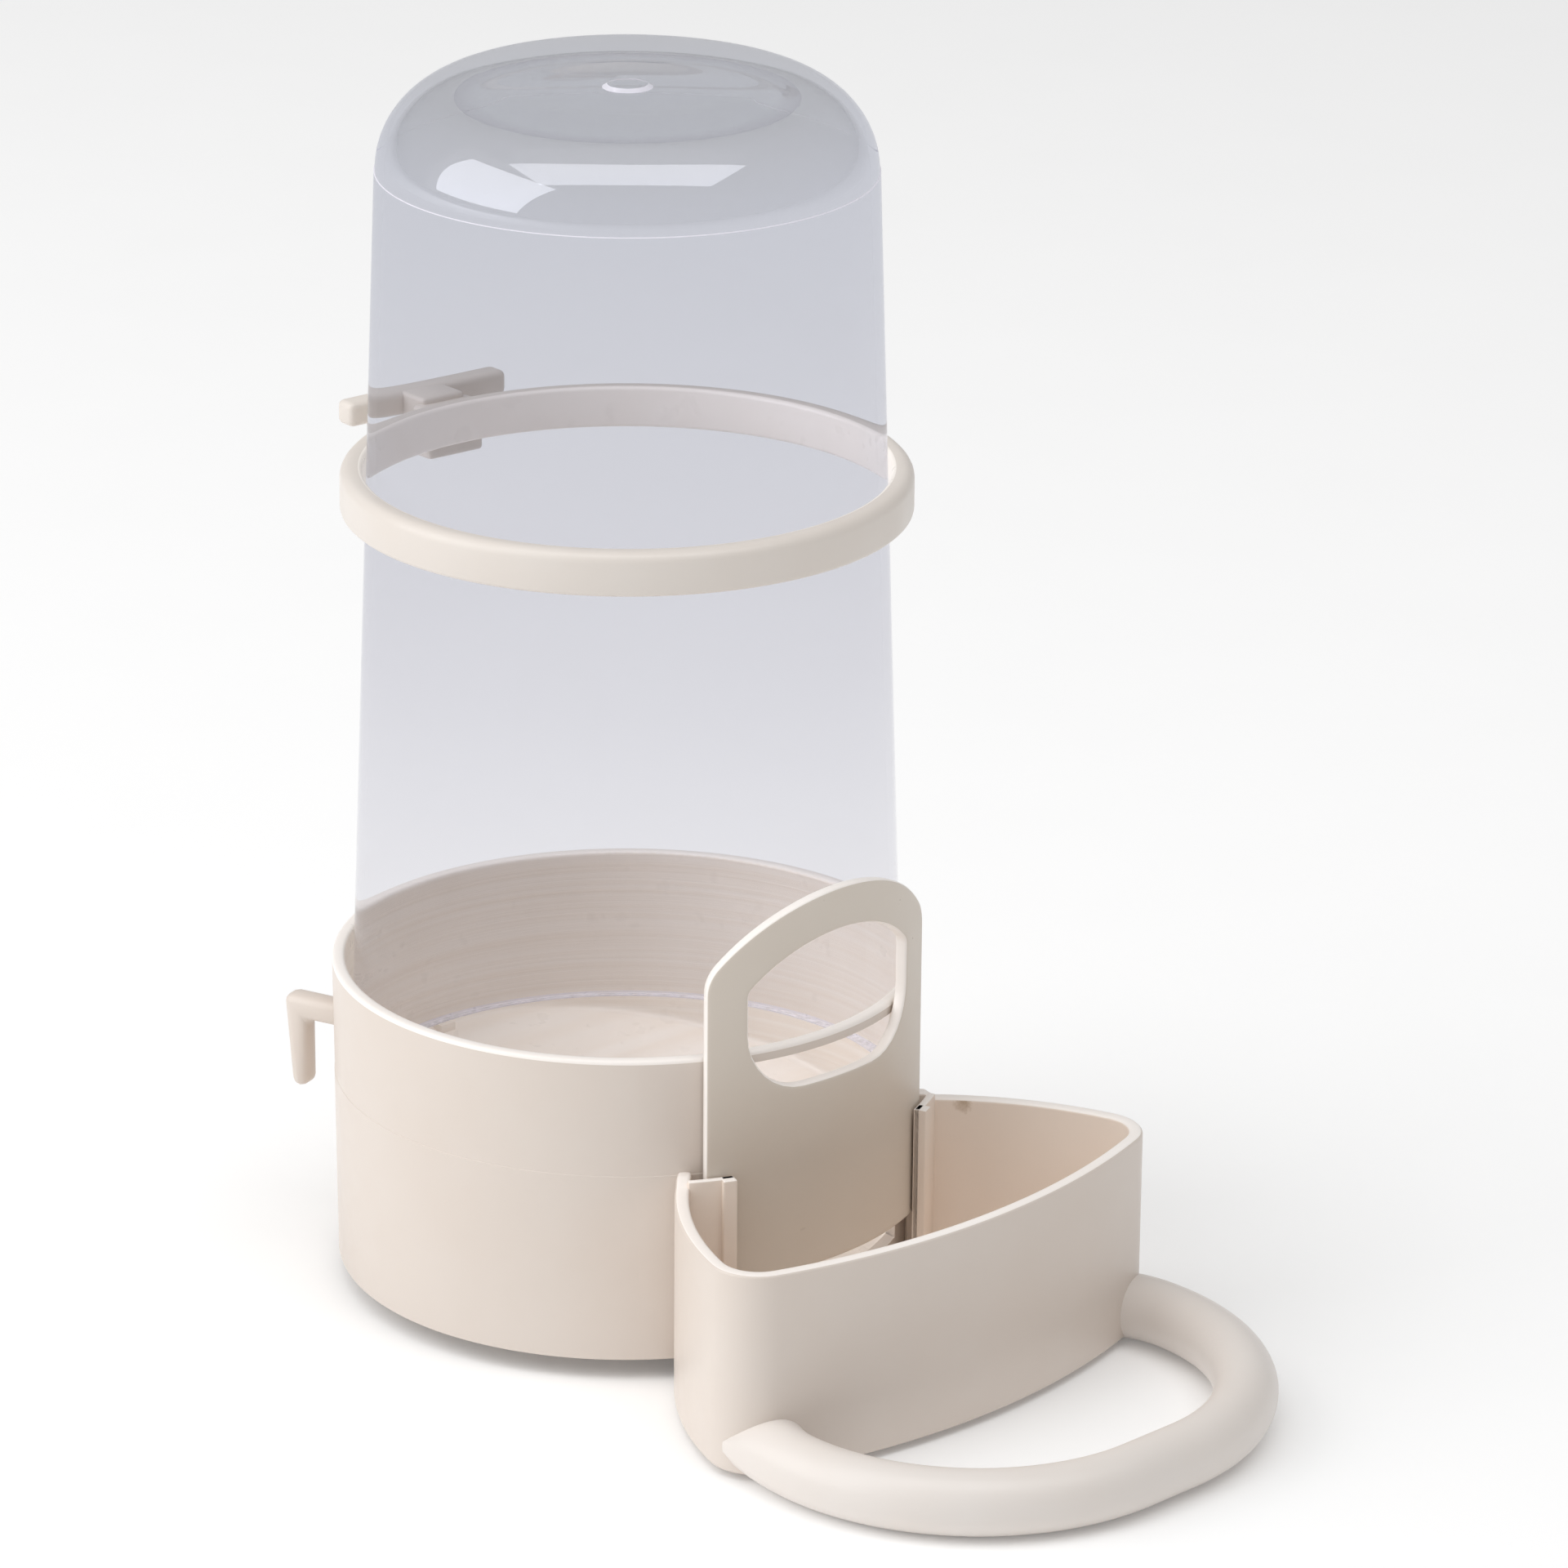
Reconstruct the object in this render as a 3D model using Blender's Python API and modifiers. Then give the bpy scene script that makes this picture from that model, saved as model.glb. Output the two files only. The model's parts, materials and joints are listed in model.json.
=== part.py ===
"""Automatic water drinker for a bird cage. Metres, +Z up.

The origin is on the bottle's axis, at the surface that the base stands on. The trough and the
perch point along -Y, the cage hooks along +Y. The shutter is drawn half raised.
"""

import math

import bmesh
import bpy
from mathutils import Matrix, Vector

COLLECTION = "water_drinker"
ROUND_STEPS = 72
ARC_STEP = math.radians(7.5)

# Clearances
REST_GAP = 0.0003  # under a loose piece that stands on another
BOND_GAP = 0.00015  # between pieces bonded together
SLIDE_GAP = 0.0003  # in front of the shutter and behind it
BOTTLE_PLAY = 0.0004  # radial, bottle's mouth in the base cup
RING_PLAY = 0.0003  # radial, ring round the bottle

# Base cup
BASE_RADIUS = 0.0360  # outside, at the rim
BASE_DRAFT = 0.0004  # how much smaller the outside is at the foot
BASE_HEIGHT = 0.0414
BASE_EDGE = 0.0026  # lower edge of the outside wall
BASE_WALL = 0.0016
RIM_ROUND = 0.0005
FOOT_RADIUS = 0.0295  # of the ring under the floor that the base stands on
FOOT_WALL = 0.0016
RAMP_HEIGHT = 0.0146  # top of the sloping floor, on the axis
RAMP_SLOPE = 0.197  # rise towards the back
RAMP_THICKNESS = 0.0016
SEAT_HEIGHT = 0.0221
SEAT_ANGLES = (0, math.radians(130), math.radians(-130))  # from the back
SEAT_WIDTH = 0.0024
SEAT_DEPTH = 0.0018
PASSAGE_WIDTH = 0.0290  # of the opening in the front wall, behind the shutter
PASSAGE_DEPTH = 0.0140  # enough to cut through the curved wall at both sides
PASSAGE_BAR = 0.0015  # rim left above that opening

# Cage hooks on the base cup
HOOK_ANGLE = math.radians(37.1)  # of the root, from the back
HOOK_SPLAY = math.radians(18)
HOOK_GAP = 0.0043  # between the cup and the finger, for the cage wire
HOOK_TOP = 0.0319
HOOK_WIDTH = 0.0033
HOOK_DEPTH = 0.0030
HOOK_DROP = 0.0120
HOOK_LEAN = 0.09  # how much the finger's outside comes in per unit of drop
FINGER_THICKNESS = 0.0031
HOOK_ROUND = 0.0006

# Trough
TROUGH_HALF_WIDTH = 0.0337
TROUGH_REACH = 0.0277  # from the base cup to the middle of the front wall
TROUGH_RIM = 0.0262
TROUGH_BOTTOM = 0.0009
TROUGH_WALL = 0.0017
TROUGH_FLOOR = 0.0020
TROUGH_FRONT_RADIUS = 0.0900
TROUGH_CORNER_RADIUS = 0.0060
TROUGH_SIDE_RADIUS = 0.0480
TROUGH_ROOT_ANGLE = math.radians(32.8)  # where the side wall meets the cup, from the front
LIP_END_ANGLE = math.radians(23.0)
LIP_THICKNESS = 0.0010
BEAD_ANGLE = math.radians(2.6)
BEAD_THICKNESS = 0.0017

# Perch
PERCH_RADIUS = 0.00405
PERCH_REACH = 0.0280  # from the trough's front wall to the middle of the bar
PERCH_CORNER_RADIUS = 0.0243
PERCH_INSET = 0.0003  # inside the trough's widest line
PERCH_LIFT = 0.00005

# Shutter
SHUTTER_THICKNESS = 0.0015
SHUTTER_HALF_WIDTH = 0.0185  # along the curve
SHUTTER_HEIGHT = 0.0476
SHUTTER_RAISED = 0.0096  # above its closed position
SHUTTER_TOP_RADIUS = 0.0238
SHUTTER_CORNER_RADIUS = 0.0050
HOLE_MARGIN = 0.0053  # material left round the sides and the top of the finger hole
HOLE_HEIGHT = 0.0185
HOLE_CORNER_RADIUS = 0.0015
HOLE_FOOT_RADIUS = 0.0076

# Bottle
BOTTLE_HEIGHT = 0.1288
BOTTLE_TAPER = 0.0355  # loss of radius per unit of height
BOTTLE_WALL = 0.0015
BOTTLE_END = 0.0020
SHOULDER_HEIGHT = 0.0106
END_RADIUS = 0.0195  # of the ring that the emptied bottle can stand on
END_DISH = 0.0013
GATE_RADIUS = 0.0030
GATE_HEIGHT = 0.0004

# Retaining ring
RING_HEIGHT_ON_BOTTLE = 0.0760  # bottom of the ring above the bottle's mouth
RING_HEIGHT = 0.0052
RING_WALL = 0.0027
RING_ROUND = 0.0008
RING_TURN = math.radians(-4)
PAD_WIDTH = 0.0080
PAD_DROP = 0.0018
PAD_STAND = 0.0020
NECK_WIDTH = 0.0060
NECK_HEIGHT = 0.0030
BAR_GAP = 0.0026
BAR_LENGTH = 0.0245
BAR_THICKNESS = 0.0031
BAR_ROUND = 0.0008
BAR_LIFT = 0.0012  # middle of the bar above the middle of the ring

# Sizes that follow from the ones above
BASE_INNER = BASE_RADIUS - BASE_WALL
SHUTTER_INNER = BASE_RADIUS + SLIDE_GAP
SHUTTER_RADIUS = SHUTTER_INNER + SHUTTER_THICKNESS
TROUGH_FLOOR_TOP = TROUGH_BOTTOM + TROUGH_FLOOR
SHUTTER_CLOSED = TROUGH_FLOOR_TOP + REST_GAP
SHUTTER_BOTTOM = SHUTTER_CLOSED + SHUTTER_RAISED
LIP_INNER = SHUTTER_RADIUS + SLIDE_GAP
TROUGH_FRONT = BASE_RADIUS + TROUGH_REACH
BOTTLE_BOTTOM = SEAT_HEIGHT + REST_GAP
MOUTH_RADIUS = BASE_INNER - BOTTLE_PLAY
SHOULDER_BASE = BOTTLE_HEIGHT - SHOULDER_HEIGHT
SHOULDER_RADIUS = MOUTH_RADIUS - BOTTLE_TAPER * SHOULDER_BASE
RING_BORE = MOUTH_RADIUS - BOTTLE_TAPER * RING_HEIGHT_ON_BOTTLE + RING_PLAY
RING_RADIUS = RING_BORE + RING_WALL
PERCH_HALF_SPAN = TROUGH_HALF_WIDTH - PERCH_INSET - PERCH_RADIUS


def ramp(y):
    """Height of the sloping floor's top."""
    return RAMP_HEIGHT + RAMP_SLOPE * y


def arc(centre, radius, start, end):
    """Points of a circular arc, both ends included."""
    count = max(2, round(abs(end - start) / ARC_STEP))
    angles = [start + (end - start) * i / count for i in range(count + 1)]
    return [(centre[0] + radius * math.cos(a), centre[1] + radius * math.sin(a)) for a in angles]


def direction(start, end):
    return math.atan2(end[1] - start[1], end[0] - start[0])


def circles_meet(centre_a, radius_a, centre_b, radius_b):
    """The point where two circles cross that lies on the left of the way from a to b."""
    a = Vector(centre_a)
    b = Vector(centre_b)
    span = (b - a).length
    along = (radius_a**2 - radius_b**2 + span**2) / (2 * span)
    aside = math.sqrt(radius_a**2 - along**2)
    unit = (b - a) / span
    return tuple(a + unit * along + Vector((-unit.y, unit.x)) * aside)


def make_collection(name):
    collection = bpy.data.collections.new(name)
    bpy.context.scene.collection.children.link(collection)
    return collection


def make_object(name, bm, collection):
    """An object from a bmesh, with its faces turned outwards."""
    bmesh.ops.recalc_face_normals(bm, faces=bm.faces[:])
    mesh = bpy.data.meshes.new(name)
    bm.to_mesh(mesh)
    bm.free()
    for polygon in mesh.polygons:
        polygon.use_smooth = True
    obj = bpy.data.objects.new(name, mesh)
    collection.objects.link(obj)
    return obj


def hide(obj):
    obj.hide_render = True
    obj.display_type = "WIRE"
    return obj


def boolean(obj, operation, other):
    modifier = obj.modifiers.new(f"{operation.lower()}_{other.name}", "BOOLEAN")
    modifier.operation = operation
    modifier.object = other
    modifier.solver = "EXACT"


def screw(obj):
    modifier = obj.modifiers.new("screw", "SCREW")
    modifier.axis = "Z"
    modifier.angle = math.tau
    modifier.steps = ROUND_STEPS
    modifier.render_steps = ROUND_STEPS
    modifier.use_merge_vertices = True
    modifier.merge_threshold = 0.00001
    modifier.use_smooth_shade = True


def profile_object(name, points, closed, collection):
    """A profile in the XZ plane turned about Z."""
    mesh = bpy.data.meshes.new(name)
    edges = [(i, i + 1) for i in range(len(points) - 1)]
    if closed:
        edges.append((len(points) - 1, 0))
    mesh.from_pydata([(x, 0, z) for x, z in points], edges, [])
    obj = bpy.data.objects.new(name, mesh)
    collection.objects.link(obj)
    screw(obj)
    return obj


def add_prism(bm, outline, bottom, top):
    """A closed outline in the XY plane, raised between two heights."""
    lower = [bm.verts.new((x, y, bottom)) for x, y in outline]
    upper = [bm.verts.new((x, y, top)) for x, y in outline]
    bm.faces.new(lower[::-1])
    bm.faces.new(upper)
    for i in range(len(outline)):
        j = (i + 1) % len(outline)
        bm.faces.new((lower[i], lower[j], upper[j], upper[i]))


def prism_object(name, outlines, bottom, top, collection):
    bm = bmesh.new()
    for outline in outlines:
        add_prism(bm, outline, bottom, top)
    return make_object(name, bm, collection)


def add_box(bm, size, matrix):
    bmesh.ops.create_cube(bm, size=1, matrix=matrix @ Matrix.Diagonal((*size, 1)))


def bevel_all(bm, width, segments):
    bmesh.ops.bevel(
        bm,
        geom=bm.edges[:],
        offset=width,
        offset_type="OFFSET",
        segments=segments,
        profile=0.5,
        affect="EDGES",
        clamp_overlap=True,
        material=-1,
    )


def round_stack(name, rings, collection):
    """A round solid through rings given from top to bottom as a radius and a height for each y."""
    bm = bmesh.new()
    loops = []
    for radius, height in rings:
        loop = []
        for i in range(ROUND_STEPS):
            angle = math.tau * i / ROUND_STEPS
            x = radius * math.cos(angle)
            y = radius * math.sin(angle)
            loop.append(bm.verts.new((x, y, height(y))))
        loops.append(loop)
    bm.faces.new(loops[0])
    bm.faces.new(loops[-1][::-1])
    for upper, lower in zip(loops, loops[1:]):
        for i in range(ROUND_STEPS):
            j = (i + 1) % ROUND_STEPS
            bm.faces.new((upper[j], upper[i], lower[i], lower[j]))
    return make_object(name, bm, collection)


def mirror_x(outline):
    return [(-x, y) for x, y in reversed(outline)]


def base_taper(extra, bottom, top):
    """Rings of the base cup's tapered outside, grown by extra, between two heights."""

    def radius(z):
        return BASE_RADIUS - BASE_DRAFT * (1 - z / BASE_HEIGHT) + extra

    return [(radius(top), lambda y: top), (radius(bottom), lambda y: bottom)]


def hook_object(name, side, cutters):
    """One cage hook: an arm that leaves the cup at the back and a finger that hangs from it."""
    root = -2 * BASE_WALL
    reach = HOOK_GAP + FINGER_THICKNESS
    outline = [
        (root, 0),
        (root, -HOOK_DEPTH),
        (HOOK_GAP, -HOOK_DEPTH),
        (HOOK_GAP, -HOOK_DROP),
        (reach - HOOK_LEAN * HOOK_DROP, -HOOK_DROP),
        (reach, 0),
    ]
    bm = bmesh.new()
    add_prism(bm, outline, -HOOK_WIDTH / 2, HOOK_WIDTH / 2)
    bevel_all(bm, HOOK_ROUND, 2)
    stand = Matrix(((0, 0, 1, 0), (1, 0, 0, 0), (0, 1, 0, 0), (0, 0, 0, 1)))
    turn = Matrix.Rotation(-side * HOOK_SPLAY, 4, "Z")
    x = side * BASE_RADIUS * math.sin(HOOK_ANGLE)
    y = BASE_RADIUS * math.cos(HOOK_ANGLE)
    place = Matrix.Translation((x, y, HOOK_TOP))
    bm.transform(place @ turn @ stand)
    return hide(make_object(name, bm, cutters))


def seat_object(cutters):
    """Ribs in the base cup that the bottle's mouth stands on."""
    bm = bmesh.new()
    outer = BASE_INNER + BASE_WALL / 2
    inner = BASE_INNER - SEAT_DEPTH
    for angle in SEAT_ANGLES:
        turn = Matrix.Rotation(angle, 4, "Z")
        bottom = ramp(inner * math.cos(angle)) - RAMP_THICKNESS / 2
        centre = Vector((0, (outer + inner) / 2, (SEAT_HEIGHT + bottom) / 2))
        size = (SEAT_WIDTH, outer - inner, SEAT_HEIGHT - bottom)
        add_box(bm, size, turn @ Matrix.Translation(centre))
    return hide(make_object("seat_ribs", bm, cutters))


def underside(y):
    """Height of the sloping floor's underside."""
    return ramp(y) - RAMP_THICKNESS


def make_base_cup(parts, cutters):
    outside = [
        (BASE_RADIUS - RIM_ROUND, lambda y: BASE_HEIGHT),
        *base_taper(0, BASE_EDGE, BASE_HEIGHT - RIM_ROUND),
        (FOOT_RADIUS, lambda y: BASE_EDGE),
        (FOOT_RADIUS, lambda y: 0),
    ]
    cup = round_stack("base_cup", outside, parts)
    for name, side in (("hook_left", -1), ("hook_right", 1)):
        boolean(cup, "UNION", hook_object(name, side, cutters))
    above = BASE_HEIGHT + BASE_WALL
    below = -BASE_WALL
    well_rings = [
        (BASE_INNER + RIM_ROUND + BASE_WALL, lambda y: above),
        (BASE_INNER, lambda y: BASE_HEIGHT - RIM_ROUND),
        (BASE_INNER, ramp),
    ]
    boolean(cup, "DIFFERENCE", hide(round_stack("well_cutter", well_rings, cutters)))
    groove_radius = BASE_INNER - BASE_DRAFT
    groove_rings = [(groove_radius, underside), (groove_radius, lambda y: below)]
    groove = round_stack("groove_cutter", groove_rings, cutters)
    plug_rings = [(FOOT_RADIUS, lambda y: above), (FOOT_RADIUS, lambda y: 2 * below)]
    boolean(groove, "DIFFERENCE", hide(round_stack("groove_plug", plug_rings, cutters)))
    boolean(cup, "DIFFERENCE", hide(groove))
    foot_inner = FOOT_RADIUS - FOOT_WALL
    foot_rings = [(foot_inner, underside), (foot_inner, lambda y: below)]
    boolean(cup, "DIFFERENCE", hide(round_stack("foot_cutter", foot_rings, cutters)))
    boolean(cup, "UNION", seat_object(cutters))
    sill = ramp(-BASE_INNER) + BOND_GAP
    bm = bmesh.new()
    passage_top = BASE_HEIGHT - PASSAGE_BAR
    centre = Vector((0, -BASE_RADIUS, (passage_top + sill) / 2))
    add_box(bm, (PASSAGE_WIDTH, PASSAGE_DEPTH, passage_top - sill), Matrix.Translation(centre))
    for vert in bm.verts:
        if vert.co.z < centre.z:
            vert.co.z = ramp(vert.co.y) + BOND_GAP
    boolean(cup, "DIFFERENCE", hide(make_object("passage_cutter", bm, cutters)))
    return cup


def trough_outline(inset):
    """The trough in plan: side arc, corner arc and front arc in tangent, closed inside the cup."""
    front = (0.0, TROUGH_FRONT_RADIUS - TROUGH_FRONT)
    across = TROUGH_HALF_WIDTH - TROUGH_CORNER_RADIUS
    reach = TROUGH_FRONT_RADIUS - TROUGH_CORNER_RADIUS
    corner = (across, front[1] - math.sqrt(reach**2 - across**2))
    root_x = BASE_RADIUS * math.sin(TROUGH_ROOT_ANGLE)
    root_y = -BASE_RADIUS * math.cos(TROUGH_ROOT_ANGLE)
    inner_side = TROUGH_SIDE_RADIUS - TROUGH_CORNER_RADIUS
    side = circles_meet(corner, inner_side, (root_x, root_y), TROUGH_SIDE_RADIUS)
    into_cup = 3 * BASE_WALL / TROUGH_SIDE_RADIUS
    start = direction(side, (root_x, root_y)) + into_cup
    bend = direction(side, corner)
    turn = direction(front, corner)
    half = arc(side, TROUGH_SIDE_RADIUS - inset, start, bend)
    half += arc(corner, TROUGH_CORNER_RADIUS - inset, bend, turn)[1:]
    half += arc(front, TROUGH_FRONT_RADIUS - inset, turn, -math.pi / 2)[1:]
    return half + mirror_x(half)[1:]


def lip_outline():
    """The guide lip on the +X side, with a bead along its free edge."""
    front = -math.pi / 2
    end = front + LIP_END_ANGLE
    bead = end + BEAD_ANGLE
    root = front + TROUGH_ROOT_ANGLE - BASE_WALL / BASE_RADIUS / 2
    axis = (0, 0)
    outline = arc(axis, LIP_INNER, root, end)
    outline += arc(axis, LIP_INNER + BEAD_THICKNESS, end, bead)
    outline += arc(axis, LIP_INNER + LIP_THICKNESS, bead, root)
    return outline


def make_trough(parts, cutters):
    trough = prism_object("trough", [trough_outline(0)], TROUGH_BOTTOM, TROUGH_RIM, parts)
    above = TROUGH_RIM + TROUGH_WALL
    inside = [trough_outline(TROUGH_WALL)]
    boolean(
        trough,
        "DIFFERENCE",
        hide(prism_object("trough_cutter", inside, TROUGH_FLOOR_TOP, above, cutters)),
    )
    outlines = [lip_outline(), mirror_x(lip_outline())]
    lip_foot = TROUGH_BOTTOM + TROUGH_FLOOR / 2
    lips = prism_object("guide_lips", outlines, lip_foot, TROUGH_RIM, cutters)
    boolean(trough, "UNION", hide(lips))
    room = round_stack("cup_room", base_taper(BOND_GAP, -BASE_WALL, BASE_HEIGHT), cutters)
    boolean(trough, "DIFFERENCE", hide(room))
    return trough


def make_perch(parts, cutters):
    far = -TROUGH_FRONT - PERCH_REACH
    bend_x = PERCH_HALF_SPAN - PERCH_CORNER_RADIUS
    bend_y = far + PERCH_CORNER_RADIUS
    start_y = min(y for x, y in trough_outline(0) if x > PERCH_HALF_SPAN + PERCH_RADIUS)
    half = [(PERCH_HALF_SPAN, start_y)]
    half += arc((bend_x, bend_y), PERCH_CORNER_RADIUS, 0, -math.pi / 2)
    path = half + mirror_x(half)
    curve = bpy.data.curves.new("perch_path", "CURVE")
    curve.dimensions = "3D"
    curve.bevel_depth = PERCH_RADIUS
    curve.bevel_resolution = 5
    curve.use_fill_caps = True
    spline = curve.splines.new("POLY")
    spline.points.add(len(path) - 1)
    for point, (x, y) in zip(spline.points, path):
        point.co = (x, y, PERCH_RADIUS + PERCH_LIFT, 1)
    guide = bpy.data.objects.new("perch_path", curve)
    cutters.objects.link(guide)
    bpy.context.view_layer.update()
    graph = bpy.context.evaluated_depsgraph_get()
    mesh = bpy.data.meshes.new_from_object(guide.evaluated_get(graph))
    bm = bmesh.new()
    bm.from_mesh(mesh)
    bpy.data.meshes.remove(mesh)
    bpy.data.objects.remove(guide)
    bmesh.ops.remove_doubles(bm, verts=bm.verts[:], dist=0.000001)
    perch = make_object("perch", bm, parts)
    outline = [trough_outline(-BOND_GAP)]
    room = prism_object("trough_room", outline, -BASE_WALL, TROUGH_RIM, cutters)
    boolean(perch, "DIFFERENCE", hide(room))
    return perch


def arch_outline(half_width, bottom, apex, top_radius, corner, foot):
    """An arched opening or plate: flat foot, straight sides, arched top, all corners rounded."""
    centre = (0.0, apex - top_radius)
    across = half_width - corner
    height = centre[1] + math.sqrt((top_radius - corner) ** 2 - across**2)
    shoulder = (across, height)
    turn = direction(centre, shoulder)
    half = arc(centre, top_radius, math.pi / 2, turn)
    half += arc(shoulder, corner, turn, 0)[1:]
    half += arc((half_width - foot, bottom + foot), foot, 0, -math.pi / 2)
    return half + mirror_x(half)[:-1]


def make_shutter(parts, cutters):
    """The flat plate with its hole, bent round the base cup."""
    half_hole = SHUTTER_HALF_WIDTH - HOLE_MARGIN
    hole_top = SHUTTER_HEIGHT - HOLE_MARGIN
    foot = SHUTTER_THICKNESS / 2
    plate_outline = arch_outline(
        SHUTTER_HALF_WIDTH, 0, SHUTTER_HEIGHT, SHUTTER_TOP_RADIUS, SHUTTER_CORNER_RADIUS, foot
    )
    hole_radius = SHUTTER_TOP_RADIUS - HOLE_MARGIN
    hole_outline = arch_outline(
        half_hole, hole_top - HOLE_HEIGHT, hole_top, hole_radius, HOLE_CORNER_RADIUS, HOLE_FOOT_RADIUS
    )
    curve = bpy.data.curves.new("shutter_plate", "CURVE")
    curve.dimensions = "2D"
    curve.fill_mode = "BOTH"
    curve.extrude = SHUTTER_THICKNESS / 2
    for outline in (plate_outline, hole_outline):
        spline = curve.splines.new("POLY")
        spline.points.add(len(outline) - 1)
        spline.use_cyclic_u = True
        for point, (x, z) in zip(spline.points, outline):
            point.co = (x, z, 0, 1)
    flat = bpy.data.objects.new("shutter_plate", curve)
    cutters.objects.link(flat)
    bpy.context.view_layer.update()
    graph = bpy.context.evaluated_depsgraph_get()
    mesh = bpy.data.meshes.new_from_object(flat.evaluated_get(graph))
    bm = bmesh.new()
    bm.from_mesh(mesh)
    bpy.data.meshes.remove(mesh)
    bpy.data.objects.remove(flat)
    bmesh.ops.remove_doubles(bm, verts=bm.verts[:], dist=0.000001)
    slices = 20
    for i in range(1, slices):
        x = SHUTTER_HALF_WIDTH * (2 * i / slices - 1)
        geometry = bm.verts[:] + bm.edges[:] + bm.faces[:]
        bmesh.ops.bisect_plane(bm, geom=geometry, dist=0.000001, plane_co=(x, 0, 0), plane_no=(1, 0, 0))
    bmesh.ops.triangulate(bm, faces=bm.faces[:])
    middle = (SHUTTER_INNER + SHUTTER_RADIUS) / 2
    for vert in bm.verts:
        along, height, depth = vert.co
        angle = along / SHUTTER_RADIUS
        radius = middle + depth
        vert.co = (radius * math.sin(angle), SHUTTER_RADIUS - radius * math.cos(angle), height)
    shutter = make_object("shutter", bm, parts)
    shutter.location = (0, -SHUTTER_RADIUS, SHUTTER_BOTTOM)
    return shutter


def ellipse(across, height, radius_x, radius_z, count):
    """A quarter of an ellipse from its top to its side."""
    angles = [math.pi / 2 * (1 - i / count) for i in range(count + 1)]
    return [(across + radius_x * math.cos(a), height + radius_z * math.sin(a)) for a in angles]


def make_bottle(parts):
    dish = BOTTLE_HEIGHT - END_DISH
    gate = dish + GATE_HEIGHT
    outside = [(0, gate), (GATE_RADIUS, gate), (GATE_RADIUS, dish)]
    for i in range(1, 4):
        part = i / 4
        lift = END_DISH * part**2
        outside.append((GATE_RADIUS + (END_RADIUS - GATE_RADIUS) * part, dish + lift))
    width = SHOULDER_RADIUS - END_RADIUS
    outside += ellipse(END_RADIUS, SHOULDER_BASE, width, SHOULDER_HEIGHT, 8)
    outside.append((MOUTH_RADIUS, 0))
    inner_width = width - BOTTLE_WALL
    inner_height = SHOULDER_HEIGHT - BOTTLE_END
    inside = [(MOUTH_RADIUS - BOTTLE_WALL, 0)]
    inside += ellipse(END_RADIUS, SHOULDER_BASE, inner_width, inner_height, 8)[::-1]
    inside.append((GATE_RADIUS, dish - BOTTLE_END))
    inside.append((0, dish - BOTTLE_END))
    bottle = profile_object("bottle", outside + inside, False, parts)
    bottle.location = (0, 0, BOTTLE_BOTTOM)
    return bottle


def make_ring(parts, cutters):
    inner_top = RING_BORE + RING_ROUND / 2
    outline = [
        (RING_RADIUS - RING_ROUND, RING_HEIGHT),
        (RING_RADIUS - RING_ROUND * 0.3, RING_HEIGHT - RING_ROUND * 0.3),
        (RING_RADIUS, RING_HEIGHT - RING_ROUND),
        (RING_RADIUS, RING_ROUND / 2),
        (RING_RADIUS - RING_ROUND / 2, 0),
        (RING_BORE, 0),
        (RING_BORE, RING_HEIGHT - RING_ROUND / 2),
        (inner_top, RING_HEIGHT),
    ]
    ring = profile_object("retaining_ring", outline, True, parts)
    bracket = bmesh.new()
    pad_back = RING_RADIUS + PAD_STAND
    pad_front = RING_BORE + RING_WALL / 2
    pad_height = RING_HEIGHT - RING_ROUND + PAD_DROP
    pad_middle = (RING_HEIGHT - RING_ROUND - PAD_DROP) / 2
    centre = Matrix.Translation((0, (pad_back + pad_front) / 2, pad_middle))
    add_box(bracket, (PAD_WIDTH, pad_back - pad_front, pad_height), centre)
    bevel_all(bracket, RING_ROUND / 2, 1)
    pad = hide(make_object("ring_pad", bracket, cutters))
    bracket = bmesh.new()
    bar_front = pad_back + BAR_GAP
    neck_front = pad_back - PAD_STAND / 2
    neck_back = bar_front + BAR_THICKNESS / 2
    bar_middle = RING_HEIGHT / 2 + BAR_LIFT
    centre = Matrix.Translation((0, (neck_front + neck_back) / 2, bar_middle))
    add_box(bracket, (NECK_WIDTH, neck_back - neck_front, NECK_HEIGHT), centre)
    neck = hide(make_object("ring_neck", bracket, cutters))
    bracket = bmesh.new()
    centre = Matrix.Translation((0, bar_front + BAR_THICKNESS / 2, bar_middle))
    add_box(bracket, (BAR_LENGTH, BAR_THICKNESS, BAR_THICKNESS), centre)
    bevel_all(bracket, BAR_ROUND, 2)
    bar = hide(make_object("ring_bar", bracket, cutters))
    place = Matrix.Translation((0, 0, BOTTLE_BOTTOM + RING_HEIGHT_ON_BOTTLE))
    place = place @ Matrix.Rotation(RING_TURN, 4, "Z")
    for obj in (ring, pad, neck, bar):
        obj.matrix_world = place
    for obj in (pad, neck, bar):
        boolean(ring, "UNION", obj)
    return ring


def add_material(obj, name, color, roughness, transmission):
    material = bpy.data.materials.new(name)
    material.use_nodes = True
    shader = material.node_tree.nodes["Principled BSDF"]
    shader.inputs["Base Color"].default_value = (*color, 1)
    shader.inputs["Roughness"].default_value = roughness
    shader.inputs["Transmission Weight"].default_value = transmission
    obj.data.materials.append(material)


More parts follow.
